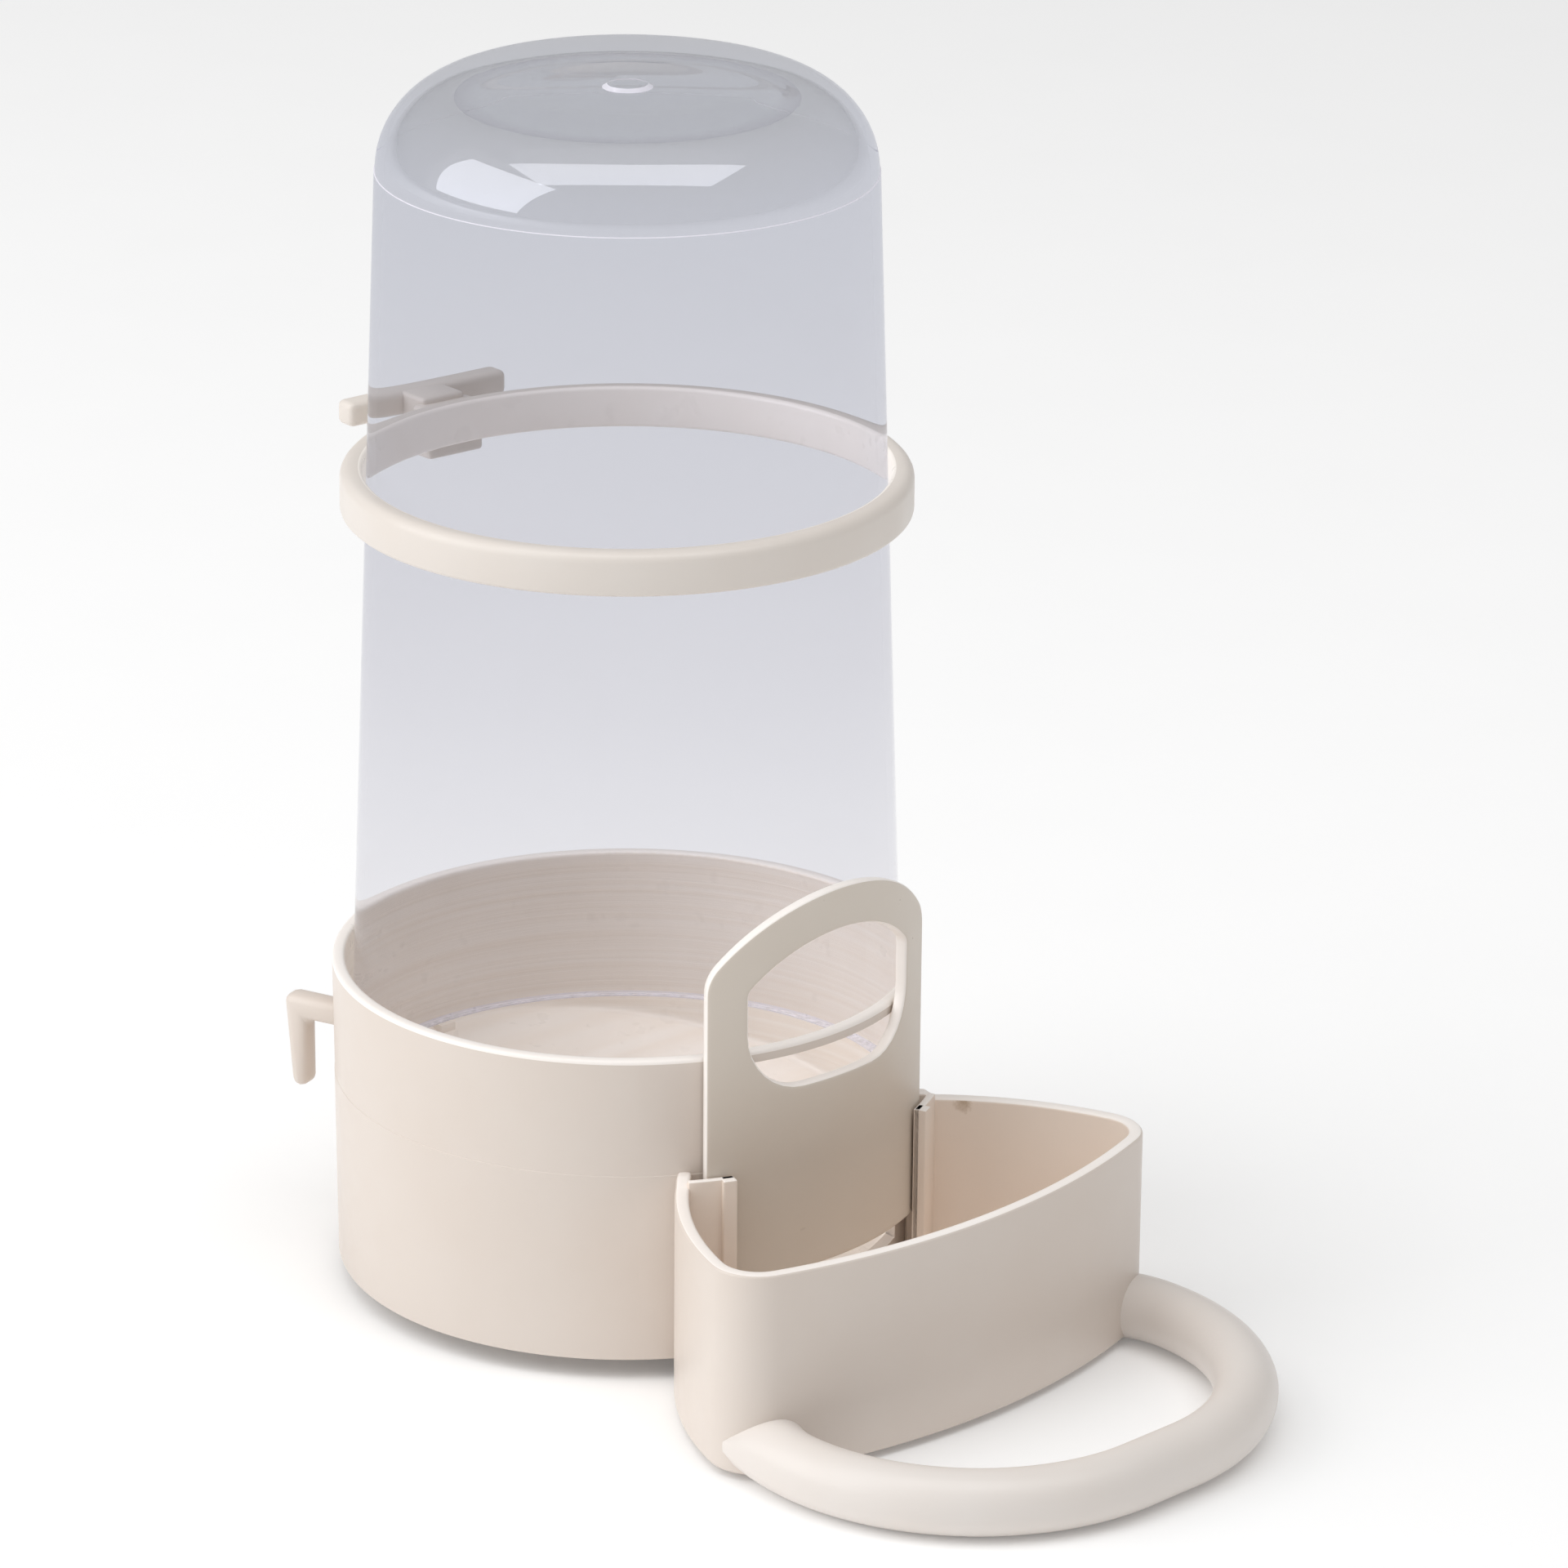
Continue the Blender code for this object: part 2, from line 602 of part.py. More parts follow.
def main():
    for obj in list(bpy.data.objects):
        bpy.data.objects.remove(obj)
    parts = make_collection(COLLECTION)
    cutters = make_collection("cutters")
    ivory = (0.74, 0.68, 0.58)
    add_material(make_base_cup(parts, cutters), "ivory_cup", ivory, 0.45, 0)
    add_material(make_trough(parts, cutters), "ivory_trough", ivory, 0.45, 0)
    add_material(make_perch(parts, cutters), "ivory_perch", ivory, 0.4, 0)
    add_material(make_shutter(parts, cutters), "ivory_shutter", ivory, 0.45, 0)
    add_material(make_ring(parts, cutters), "ivory_ring", ivory, 0.4, 0)
    add_material(make_bottle(parts), "clear_bottle", (0.86, 0.86, 0.9), 0.08, 0.9)


main()
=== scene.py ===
"""Finished pieces, finishes and stage of a water drinker for a bird cage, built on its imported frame."""

import json
import math

import bmesh
import bpy
from bpy.props import FloatProperty, FloatVectorProperty, IntProperty, PointerProperty
from mathutils import Matrix, Vector

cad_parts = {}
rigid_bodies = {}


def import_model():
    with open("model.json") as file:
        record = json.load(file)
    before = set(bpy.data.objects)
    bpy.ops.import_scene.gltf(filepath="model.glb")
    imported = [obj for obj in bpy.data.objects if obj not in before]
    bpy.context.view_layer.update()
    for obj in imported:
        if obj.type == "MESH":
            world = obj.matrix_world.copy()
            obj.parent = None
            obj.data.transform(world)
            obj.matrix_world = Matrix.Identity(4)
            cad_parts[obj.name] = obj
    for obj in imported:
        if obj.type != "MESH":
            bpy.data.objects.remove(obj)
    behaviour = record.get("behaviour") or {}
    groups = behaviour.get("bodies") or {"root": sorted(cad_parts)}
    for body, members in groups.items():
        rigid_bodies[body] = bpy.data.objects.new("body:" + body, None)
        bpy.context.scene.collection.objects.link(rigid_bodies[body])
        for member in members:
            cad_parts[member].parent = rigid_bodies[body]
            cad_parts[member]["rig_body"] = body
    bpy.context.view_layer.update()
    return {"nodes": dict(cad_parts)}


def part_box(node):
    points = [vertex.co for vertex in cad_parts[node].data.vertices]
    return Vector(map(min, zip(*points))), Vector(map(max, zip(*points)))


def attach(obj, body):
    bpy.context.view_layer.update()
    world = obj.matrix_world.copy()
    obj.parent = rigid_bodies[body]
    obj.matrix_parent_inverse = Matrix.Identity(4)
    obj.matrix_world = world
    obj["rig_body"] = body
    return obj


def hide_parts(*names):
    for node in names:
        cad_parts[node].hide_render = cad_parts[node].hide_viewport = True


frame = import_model()

bl_info = {
    "name": "Water Drinker",
    "version": (1, 0, 0),
    "blender": (4, 5, 0),
    "location": "View3D > Sidebar > Drinker",
    "description": "Builds the finished pieces of a cage water drinker and a studio stage",
    "category": "Object",
}

UP = Vector((0, 0, 1))
SIDEWAYS = Vector((0, 1, 0))
WELD_REACH = 0.000001
SAME_PLACE = 0.00001

# Steps of the curves
LEG_STEPS = 8
BEND_STEPS = 28
BAR_SEGMENTS = 40
TROUGH_STEPS = (16, 12, 24)  # front, corner and side
BACK_STEPS = 20
LIP_STEPS = 6
ARCH_STEPS = 16
CORNER_STEPS = 8
SHUTTER_SLICES = 40
DISH_STEPS = 8
SHOULDER_STEPS = 14

RIB_ANGLES = (0, 130, -130)  # of the seat ribs, in degrees from the back of the cup
SILL_ROUNDS = 2.2  # height of the passage's sill above the cup's floor, in rim roundings
GATE_FLAT = 0.8  # share of the gate mark's radius that is flat

# Roughness of the ivory mouldings
DULL = 0.36
SATIN = 0.34
SMOOTH = 0.32
BRIGHT = 0.30

# The water mark in the trough: its strength, its full and its outer radius, and how ragged its edge is
MARK_STRENGTH = 0.8
MARK_CORE = 0.0018
MARK_REACH = 0.0029
MARK_RAGGED = 0.0030

# How the plastics bend and throw back light
IVORY_IOR = 1.5
OUTSIDE_IOR = 1.01
INSIDE_IOR = 1.0
SHINE_IOR = 2.5
FROST_IOR = 1.2
END_TINT_SHARE = 0.75  # share of the shoulder's height over which the closed end's tint comes in
CORNER_SHARE = 0.85  # share of the ceiling's radius where the painted shade at its edge sets in

FLOOR_HALF = 4
KEY_SIZE = (1.5, 1.3)
TOP_SIZE = (2.2, 1.1)
LIGHT_TARGET = Vector((0, -0.01, 0.10))
SENSOR_WIDTH = 36

_, CUP_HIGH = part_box("base_cup")
TROUGH_LOW, TROUGH_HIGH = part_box("trough")
SHUTTER_LOW, SHUTTER_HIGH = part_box("shutter")
BOTTLE_LOW, BOTTLE_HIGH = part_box("bottle")


def length(name, description, default):
    """A size in metres."""
    kind = {"min": 0.0, "precision": 5, "unit": "LENGTH", "subtype": "DISTANCE"}
    return FloatProperty(name=name, description=description, default=default, **kind)


def angle(name, description, degrees):
    """An angle, given here in degrees."""
    return FloatProperty(name=name, description=description, default=math.radians(degrees), subtype="ANGLE")


def number(name, description, default):
    """A plain factor."""
    return FloatProperty(name=name, description=description, default=default, precision=4)


def colour(name, description, default):
    """A linear colour."""
    return FloatVectorProperty(
        name=name, description=description, default=default, size=3, min=0.0, max=1.0, subtype="COLOR"
    )


def place(name, description, default):
    """A point in the drinker's frame."""
    return FloatVectorProperty(
        name=name, description=description, default=default, size=3, subtype="XYZ", unit="LENGTH"
    )


class CupSizes(bpy.types.PropertyGroup):
    """Sizes of the base cup"""

    radius: length("Radius", "Outside radius at the rim", 0.0360)
    rim: length("Rim height", "Top of the cup above the floor", CUP_HIGH.z)
    draft: length("Draft", "Loss of radius down to the foot", 0.0004)
    edge: length("Lower edge", "Height of the wall's lower edge", 0.0026)
    wall: length("Wall", "Wall thickness", 0.0016)
    rim_round: length("Rim round", "Radius of the rim's edges", 0.0005)
    parting: length("Parting line", "Height of the fine step round the outside", 0.0266)
    step: length("Parting step", "Depth of that step", 0.00005)
    foot_radius: length("Foot radius", "Outside radius of the foot ring", 0.0295)
    foot_wall: length("Foot wall", "Thickness of the foot ring", 0.0016)
    ramp: length("Floor height", "Top of the sloping floor on the axis", 0.0146)
    slope: number("Floor slope", "Rise of the floor towards the back", 0.197)
    ramp_thickness: length("Floor thickness", "Thickness of the sloping floor", 0.0016)
    passage: length("Passage width", "Width of the opening behind the shutter", 0.0290)
    bar: length("Bar", "Height of the rim above that opening", 0.0015)
    seat: length("Seat height", "Top of the ribs under the bottle", 0.0221)
    rib_width: length("Rib width", "Width of a seat rib", 0.0024)
    rib_depth: length("Rib depth", "Reach of a seat rib from the wall", 0.0018)


class HookSizes(bpy.types.PropertyGroup):
    """Sizes of the cage hooks"""

    root: angle("Root", "Angle of the root from the back", 37.1)
    splay: angle("Splay", "Turn away from straight back", 18.0)
    gap: length("Gap", "Room for the cage wire", 0.0043)
    top: length("Top", "Height of the arm's top", 0.0319)
    width: length("Width", "Width of the arm and the finger", 0.0033)
    depth: length("Depth", "Height of the arm", 0.0030)
    drop: length("Drop", "Length of the finger from the top", 0.0120)
    lean: number("Lean", "Lean of the finger's outside", 0.09)
    finger: length("Finger", "Thickness of the finger", 0.0031)
    edge: length("Edge", "Radius of the edges", 0.0010)


class TroughSizes(bpy.types.PropertyGroup):
    """Sizes of the drinking trough and its guide lips"""

    half_width: length("Half width", "Half of the largest width", 0.0337)
    front: length("Front", "Middle of the front wall from the axis", 0.0637)
    rim: length("Rim height", "Top of the walls above the floor", TROUGH_HIGH.z)
    bottom: length("Bottom", "Underside above the floor", TROUGH_LOW.z)
    wall: length("Wall", "Wall thickness", 0.0017)
    front_radius: length("Front radius", "Curve of the front wall", 0.0900)
    corner_radius: length("Corner radius", "Curve of the front corners", 0.0060)
    side_radius: length("Side radius", "Curve of the side walls", 0.0480)
    root: angle("Root", "Where a side wall meets the cup, from the front", 32.8)
    into_cup: length("Overlap", "Reach of the walls into the cup's wall", 0.0008)
    edge: length("Edge", "Radius of the edges", 0.0004)
    lip_radius: length("Lip radius", "Inside of the guide lips from the axis", 0.0381)
    lip: length("Lip", "Thickness of a guide lip", 0.0010)
    lip_end: angle("Lip end", "Free edge of a lip from the front", 23.0)
    lip_rise: length("Lip rise", "Height of the lips above the rim", 0.0007)
    post: length("Post", "Length of the walls' raised ends", 0.0022)
    bead: length("Bead", "Thickness of the bead on the free edge", 0.0017)
    bead_turn: angle("Bead width", "Width of the bead round the axis", 2.6)


class PerchSizes(bpy.types.PropertyGroup):
    """Sizes of the perch"""

    radius: length("Radius", "Radius of the bar", 0.0039)
    height: length("Height", "Middle of the bar above the floor", 0.00405)
    half_span: length("Half span", "Half of the legs' distance", 0.0310)
    reach: length("Reach", "Middle of the far bar from the axis", 0.0914)
    corner: length("Corner", "Radius of the bends", 0.0272)
    toe_in: length("Toe-in", "Lean of each leg at the trough", 0.0014)


class ShutterSizes(bpy.types.PropertyGroup):
    """Sizes of the shutter"""

    inner: length("Inner radius", "Back of the plate from the axis", 0.0363)
    thickness: length("Thickness", "Thickness of the plate", 0.0015)
    half_width: length("Half width", "Half of the width along the curve", 0.0185)
    bottom: length("Bottom", "Lower edge above the floor", SHUTTER_LOW.z)
    height: length("Height", "Height of the plate", SHUTTER_HIGH.z - SHUTTER_LOW.z)
    top_radius: length("Top radius", "Curve of the top", 0.0238)
    corner: length("Corner", "Radius of the upper corners", 0.0050)
    margin: length("Margin", "Material left round the finger hole", 0.0053)
    hole_height: length("Hole height", "Height of the finger hole", 0.0185)
    hole_corner: length("Hole corner", "Radius of the hole's upper corners", 0.0015)
    hole_foot: length("Hole foot", "Radius of the hole's lower corners", 0.0076)
    edge: length("Edge", "Radius of the edges", 0.00035)


class BottleSizes(bpy.types.PropertyGroup):
    """Sizes of the bottle"""

    mouth: length("Mouth radius", "Outside radius at the mouth", 0.0340)
    bottom: length("Bottom", "Mouth above the floor", BOTTLE_LOW.z)
    height: length("Height", "Height of the bottle", BOTTLE_HIGH.z - BOTTLE_LOW.z)
    taper: number("Taper", "Loss of radius per unit of height", 0.0355)
    wall: length("Wall", "Wall thickness", 0.0015)
    end: length("End", "Thickness of the closed end", 0.0027)
    ceiling: length("Ceiling", "Radius of the end's flat inside", 0.0203)
    shoulder: length("Shoulder", "Height of the rounded shoulder", 0.0111)
    seam: length("Seam", "Depth of the step under the shoulder", 0.00012)
    end_radius: length("End radius", "Radius of the ring round the dished end", 0.0180)
    dish: length("Dish", "Depth of the dished end", 0.0013)
    gate: length("Gate", "Radius of the gate mark", 0.0030)
    gate_height: length("Gate height", "Height of the gate mark", 0.0004)


class RingSizes(bpy.types.PropertyGroup):
    """Sizes of the retaining ring"""

    bottom: length("Bottom", "Underside of the ring above the floor", 0.0984)
    height: length("Height", "Height of the ring", 0.0052)
    bore: length("Bore", "Inside radius", 0.0316)
    wall: length("Wall", "Thickness of the ring", 0.0027)
    turn: angle("Turn", "Turn about the bottle", -4.0)
    nose: length("Nose", "Radius of the outer top edge", 0.0013)
    edge: length("Edge", "Radius of the other edges", 0.0005)
    pad_width: length("Pad width", "Width of the pad", 0.0080)
    pad_drop: length("Pad drop", "Drop of the pad under the ring", 0.0018)
    pad_stand: length("Pad stand", "Depth of the pad", 0.0020)
    neck_width: length("Neck width", "Width of the neck", 0.0060)
    neck_height: length("Neck height", "Height of the neck", 0.0030)
    gap: length("Gap", "Room for the wire in front of the bar", 0.0026)
    bar_length: length("Bar length", "Length of the cross bar", 0.0245)
    bar: length("Bar", "Thickness of the cross bar", 0.0031)
    lift: length("Lift", "Rise of the bar above the ring's middle", 0.0012)


class Finishes(bpy.types.PropertyGroup):
    """Colours, painted light and shade, and grain of the plastics"""

    ivory: colour("Ivory", "Colour of the cup, the hooks and the trough", (0.735, 0.66, 0.60))
    ivory_pale: colour("Pale ivory", "Colour of the ring", (0.76, 0.705, 0.655))
    ivory_perch: colour("Perch ivory", "Colour of the perch", (0.80, 0.75, 0.71))
    # Painted bounce light: a paler, warmer copy of the ivory on the trough's inside and the lips' sides
    ivory_painted_bounce: colour("Warm ivory", "Colour of the trough's inside and of its lips", (0.90, 0.80, 0.715))
    ivory_grey: colour("Grey ivory", "Colour of the shutter", (0.71, 0.645, 0.57))
    # Painted light: a paler copy of the ivory inside the cup and the ring, brightening these shaded hollows
    ivory_painted_light: colour("Lit ivory", "Colour of the cup's and the ring's inside", (0.98, 0.925, 0.875))
    # Painted highlight: near-white ivory on the rims, the lip tops and the shutter's edges, for the light
    # these edges catch
    ivory_painted_highlight: colour("Edge ivory", "Colour of the rims, lip tops and shutter's edge", (0.985, 0.935, 0.895))
    drift: number("Drift", "Depth of the colour's patches", 0.04)
    stain: colour("Stain", "Colour of the water mark in the trough", (0.50, 0.38, 0.27))
    stain_place: place("Stain place", "Middle of the water mark", (0.0228, -0.0356, 0.0257))
    clear_low: colour("Clear, low", "Tint of the wall at the mouth", (0.89, 0.885, 0.91))
    clear_middle: colour("Clear, middle", "Tint of the wall half way up", (0.695, 0.695, 0.745))
    clear_high: colour("Clear, high", "Tint of the wall under the shoulder", (0.635, 0.65, 0.715))
    clear_end: colour("Clear end", "Tint of the top of the bottle's shoulder", (0.56, 0.565, 0.595))
    clear_ceiling: colour("Clear ceiling", "Tint of the thick closed end", (0.72, 0.73, 0.745))
    # Painted shade: a darker ring at the edge of the bottle's ceiling, for the dark reflection there
    clear_corner_shade: colour("Clear corner", "Tint of the edge of the bottle's ceiling", (0.58, 0.575, 0.595))
    clear_edge: colour("Clear edge", "Colour of the frosted mouth, seam and gate mark", (0.84, 0.82, 0.90))
    clear_lamps: colour("Clear to light", "Tint of light that passes each surface", (0.998, 0.998, 0.999))
    grain: number("Grain", "Strength of the moulded grain", 0.10)


class StageLook(bpy.types.PropertyGroup):
    """Floor, light and camera"""

    floor: colour("Floor", "Colour of the floor", (0.97, 0.97, 0.97))
    floor_glow: number("Floor glow", "Light that the floor gives off", 0.08)
    sky: colour("Surroundings", "Colour of the light from all round", (1.0, 1.0, 1.0))
    sky_strength: number("Surroundings strength", "Strength of the light from all round", 0.41)
    key_power: number("Key power", "Power of the main softbox in watts", 12.9)
    top_power: number("Top power", "Power of the overhead softbox in watts", 13.9)
    key_place: place("Key place", "Place of the main softbox", (-1.18, 0.66, 0.80))
    top_place: place("Top place", "Place of the overhead softbox", (-0.22, -0.24, 1.68))
    camera: place("Camera", "Place of the camera", (-0.5567, -0.6118, 0.3687))
    view: place("View", "Direction that the camera looks in", (0.6466, 0.6796, -0.3467))
    roll: FloatProperty(
        name="Roll", description="Turn of the camera about its view", default=0.00854, subtype="ANGLE"
    )
    lens: number("Lens", "Focal length in millimetres", 167.04)
    shift: number("Shift", "Sideways shift of the image", 0.0033)


class DrinkerSettings(bpy.types.PropertyGroup):
    """Everything a user would change on the drinker"""

    cup: PointerProperty(type=CupSizes)
    hooks: PointerProperty(type=HookSizes)
    trough: PointerProperty(type=TroughSizes)
    perch: PointerProperty(type=PerchSizes)
    shutter: PointerProperty(type=ShutterSizes)
    bottle: PointerProperty(type=BottleSizes)
    ring: PointerProperty(type=RingSizes)
    finishes: PointerProperty(type=Finishes)
    stage: PointerProperty(type=StageLook)
    round_steps: IntProperty(name="Round steps", description="Steps of a full turn", default=192, min=24)


def everything(bm):
    return bm.verts[:] + bm.edges[:] + bm.faces[:]


def verts_in(items):
    return [item for item in items if isinstance(item, bmesh.types.BMVert)]


def edges_in(items):
    return [item for item in items if isinstance(item, bmesh.types.BMEdge)]


def spin(bm, geom, turn, steps, centre=(0, 0, 0), axis=UP, closed=False):
    """Spin geometry, by default round the bottle's axis, and give what the last step made."""
    made = bmesh.ops.spin(
        bm,
        geom=geom,
        cent=centre,
        axis=axis,
        dvec=(0, 0, 0),
        angle=turn,
        steps=steps,
        use_merge=closed,
        use_normal_flip=False,
        use_duplicate=False,
    )
    return made["geom_last"]


def to_mesh(bm, name):
    mesh = bpy.data.meshes.new(name)
    bm.to_mesh(mesh)
    bm.free()
    return mesh


def add_mesh(target, source):
    """Add a finished mesh to another one and free it."""
    mesh = to_mesh(source, "added")
    target.from_mesh(mesh)
    bpy.data.meshes.remove(mesh)


def add_object(name, data):
    made = bpy.data.objects.new(name, data)
    bpy.context.scene.collection.objects.link(made)
    return made


class Pen:
    """Draws a chain of edges in one plane, with extrusions and spins of its last vertex."""

    def __init__(self, bm, start, normal):
        self.bm = bm
        self.normal = normal
        self.vert = bm.verts.new(start)

    def line(self, end):
        made = bmesh.ops.extrude_vert_indiv(self.bm, verts=[self.vert])
        self.vert = made["verts"][0]
        self.vert.co = end

    def arc(self, centre, turn, steps):
        self.vert = verts_in(spin(self.bm, [self.vert], turn, steps, centre, self.normal))[0]


def merge(bm):
    bmesh.ops.remove_doubles(bm, verts=bm.verts[:], dist=WELD_REACH)


def face_outwards(bm):
    bmesh.ops.recalc_face_normals(bm, faces=bm.faces[:])


def weld(bm):
    """Merge doubles, then turn all faces outwards."""
    merge(bm)
    face_outwards(bm)


def turn_profile(bm, steps):
    """Spin the drawn profile once round the bottle's axis."""
    spin(bm, bm.verts[:] + bm.edges[:], math.tau, steps, closed=True)
    weld(bm)


def round_edges(bm, edges, radius, segments):
    bmesh.ops.bevel(
        bm,
        geom=edges,
        offset=radius,
        offset_type="OFFSET",
        segments=segments,
        profile=0.5,
        affect="EDGES",
        clamp_overlap=True,
        material=-1,
    )


def edges_where(bm, test):
    """Edges with both ends where test(radius, height, vertex) holds."""

    def holds(vert):
        return test(vert.co.xy.length, vert.co.z, vert)

    return [edge for edge in bm.edges if holds(edge.verts[0]) and holds(edge.verts[1])]


def sharp_edges(edges, degrees):
    limit = math.radians(degrees)
    return [edge for edge in edges if edge.is_manifold and edge.calc_face_angle() > limit]


def near(value, target):
    return abs(value - target) < SAME_PLACE


def rounded_box(bm, size, centre, radius, segments, turn=Matrix()):
    """A box with rounded edges, added to the mesh."""
    matrix = turn @ Matrix.Translation(centre) @ Matrix.Diagonal((*size, 1))
    made = bmesh.ops.create_cube(bm, size=1, matrix=matrix)
    edges = {edge for vert in made["verts"] for edge in vert.link_edges}
    round_edges(bm, list(edges), radius, segments)


def finish_piece(bm, name, node, finishes, crease=35):
    """Make the mesh an object that stands for a frame node and rides on that node's body."""
    limit = math.radians(crease)
    for face in bm.faces:
        face.smooth = True
    for edge in bm.edges:
        edge.smooth = edge.calc_face_angle(0) < limit
    mesh = to_mesh(bm, name)
    for finish in finishes:
        mesh.materials.append(finish)
    piece = add_object(name, mesh)
    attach(piece, frame["nodes"][node]["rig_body"])
    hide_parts(node)
    return piece


def add_node(tree, kind, **values):
    node = tree.nodes.new(kind)
    for key, value in values.items():
        if hasattr(node, key):
            setattr(node, key, value)
        else:
            set_inputs(node, **{key: value})
    return node


def set_inputs(shader, **values):
    for key, value in values.items():
        shader.inputs[key.replace("_", " ")].default_value = value


def noise(tree, coordinates, scale, detail, stretch=(1, 1, 1)):
    """Noise on the piece's own coordinates, stretched where asked."""
    mapping = add_node(tree, "ShaderNodeMapping")
    mapping.inputs["Scale"].default_value = stretch
    tree.links.new(coordinates, mapping.inputs["Vector"])
    texture = add_node(tree, "ShaderNodeTexNoise", Scale=scale, Detail=detail, Roughness=0.6)
    tree.links.new(mapping.outputs["Vector"], texture.inputs["Vector"])
    return texture.outputs["Fac"]


def spread(tree, value, low, high, start=0.3, end=0.7):
    """Map a range of values, by default a texture's middle range, to low and high."""
    node = add_node(tree, "ShaderNodeMapRange")
    set_inputs(node, From_Min=start, From_Max=end, To_Min=low, To_Max=high)
    tree.links.new(value, node.inputs["Value"])
    return node.outputs["Result"]


def mix_colour(tree, factor, first, second):
    node = add_node(tree, "ShaderNodeMix", data_type="RGBA")
    tree.links.new(factor, node.inputs["Factor"])
    for socket, value in ((node.inputs[6], first), (node.inputs[7], second)):
        if isinstance(value, bpy.types.NodeSocket):
            tree.links.new(value, socket)
        else:
            socket.default_value = (*value, 1)
    return node.outputs[2]


def bump(tree, height, strength, distance, normal=None):
    node = add_node(tree, "ShaderNodeBump", Strength=strength, Distance=distance)
    tree.links.new(height, node.inputs["Height"])
    if normal is not None:
        tree.links.new(normal, node.inputs["Normal"])
    return node.outputs["Normal"]


def new_finish(name):
    """A material, its node tree, its shader and its Object coordinates."""
    material = bpy.data.materials.new(name)
    material.use_nodes = True
    tree = material.node_tree
    shader = tree.nodes["Principled BSDF"]
    coordinates = add_node(tree, "ShaderNodeTexCoord").outputs["Object"]
    return material, tree, shader, coordinates


def deeper(tone, drift):
    """A warmer and deeper shade of a colour."""
    return tuple(channel * (1 - drift * share) for channel, share in zip(tone, (0.6, 1.0, 1.4)))


def ivory_finish(name, looks, tone, gloss, rings=0.0, stain=None):
    """Moulded ivory plastic with grain, clouding, uneven gloss, and tool rings or a water mark if asked."""
    material, tree, shader, coordinates = new_finish(name)
    clouds = noise(tree, coordinates, scale=45, detail=3)
    tint = mix_colour(tree, spread(tree, clouds, 0, 1), tone, deeper(tone, looks.drift))
    if rings:
        lines = noise(tree, coordinates, scale=1, detail=3, stretch=(9, 9, 1400))
        tint = mix_colour(tree, spread(tree, lines, 0, rings), tint, deeper(tone, 0.2))
    if stain is not None:
        tint = water_mark(tree, coordinates, tint, looks.stain, stain)
    tree.links.new(tint, shader.inputs["Base Color"])
    smears = noise(tree, coordinates, scale=260, detail=4)
    tree.links.new(spread(tree, smears, gloss - 0.05, gloss + 0.07), shader.inputs["Roughness"])
    grain = noise(tree, coordinates, scale=2600, detail=2)
    normal = bump(tree, grain, looks.grain, 0.0001)
    flow = noise(tree, coordinates, scale=90, detail=2, stretch=(1, 1, 0.35))
    normal = bump(tree, flow, looks.grain, 0.0004, normal)
    if rings:
        normal = bump(tree, lines, rings, 0.0002, normal)
    tree.links.new(normal, shader.inputs["Normal"])
    shader.inputs["IOR"].default_value = IVORY_IOR
    return material


def water_mark(tree, coordinates, tint, mark, centre):
    """A small brown mark with a ragged edge round one point."""
    distance = add_node(tree, "ShaderNodeVectorMath", operation="DISTANCE")
    tree.links.new(coordinates, distance.inputs[0])
    distance.inputs[1].default_value = centre
    ragged = add_node(tree, "ShaderNodeMath", operation="MULTIPLY_ADD")
    tree.links.new(noise(tree, coordinates, scale=700, detail=3), ragged.inputs[0])
    ragged.inputs[1].default_value = MARK_RAGGED
    tree.links.new(distance.outputs["Value"], ragged.inputs[2])
    cover = spread(tree, ragged.outputs["Value"], MARK_STRENGTH, 0, MARK_CORE, MARK_REACH)
    return mix_colour(tree, cover, tint, mark)


def let_light_pass(tree, shader, tint):
    """Lamp light and bounced light go straight through clear plastic, so what is behind it stays lit."""
    path = add_node(tree, "ShaderNodeLightPath")
    passing = add_node(tree, "ShaderNodeBsdfTransparent")
    passing.inputs["Color"].default_value = (*tint, 1)
    surface = shader.outputs["BSDF"]
    for kind in ("Is Shadow Ray", "Is Diffuse Ray"):
        mix = add_node(tree, "ShaderNodeMixShader")
        tree.links.new(path.outputs[kind], mix.inputs["Fac"])
        tree.links.new(surface, mix.inputs[1])
        tree.links.new(passing.outputs["BSDF"], mix.inputs[2])
        surface = mix.outputs["Shader"]
    tree.links.new(surface, tree.nodes["Material Output"].inputs["Surface"])


def polished(tree, shader, coordinates, bend):
    """The clear plastic's own gloss, with slight waves and scuffs. Gives the height as well."""
    set_inputs(shader, Transmission_Weight=1, IOR=bend, Coat_Roughness=0.02)
    scuffs = noise(tree, coordinates, scale=120, detail=5, stretch=(1, 1, 0.4))
    tree.links.new(spread(tree, scuffs, 0.01, 0.05), shader.inputs["Roughness"])
    waves = noise(tree, coordinates, scale=40, detail=2, stretch=(1, 1, 0.3))
    tree.links.new(bump(tree, waves, 0.05, 0.0004), shader.inputs["Normal"])
    split = add_node(tree, "ShaderNodeSeparateXYZ")
    tree.links.new(coordinates, split.inputs["Vector"])
    return split.outputs["Z"]


def clear_outside(name, looks, mouth, shoulder, top):
    """Clear plastic whose tint deepens from the mouth to the closed end."""
    material, tree, shader, coordinates = new_finish(name)
    height = polished(tree, shader, coordinates, OUTSIDE_IOR)
    middle = (mouth + shoulder) / 2
    tint = mix_colour(tree, spread(tree, height, 0, 1, mouth, middle), looks.clear_low, looks.clear_middle)
    tint = mix_colour(tree, spread(tree, height, 0, 1, middle, shoulder), tint, looks.clear_high)
    tint = mix_colour(tree, spread(tree, height, 0, 1, shoulder, top), tint, looks.clear_end)
    tree.links.new(tint, shader.inputs["Base Color"])
    shader.inputs["Coat Weight"].default_value = 0.15
    let_light_pass(tree, shader, looks.clear_lamps)
    return material


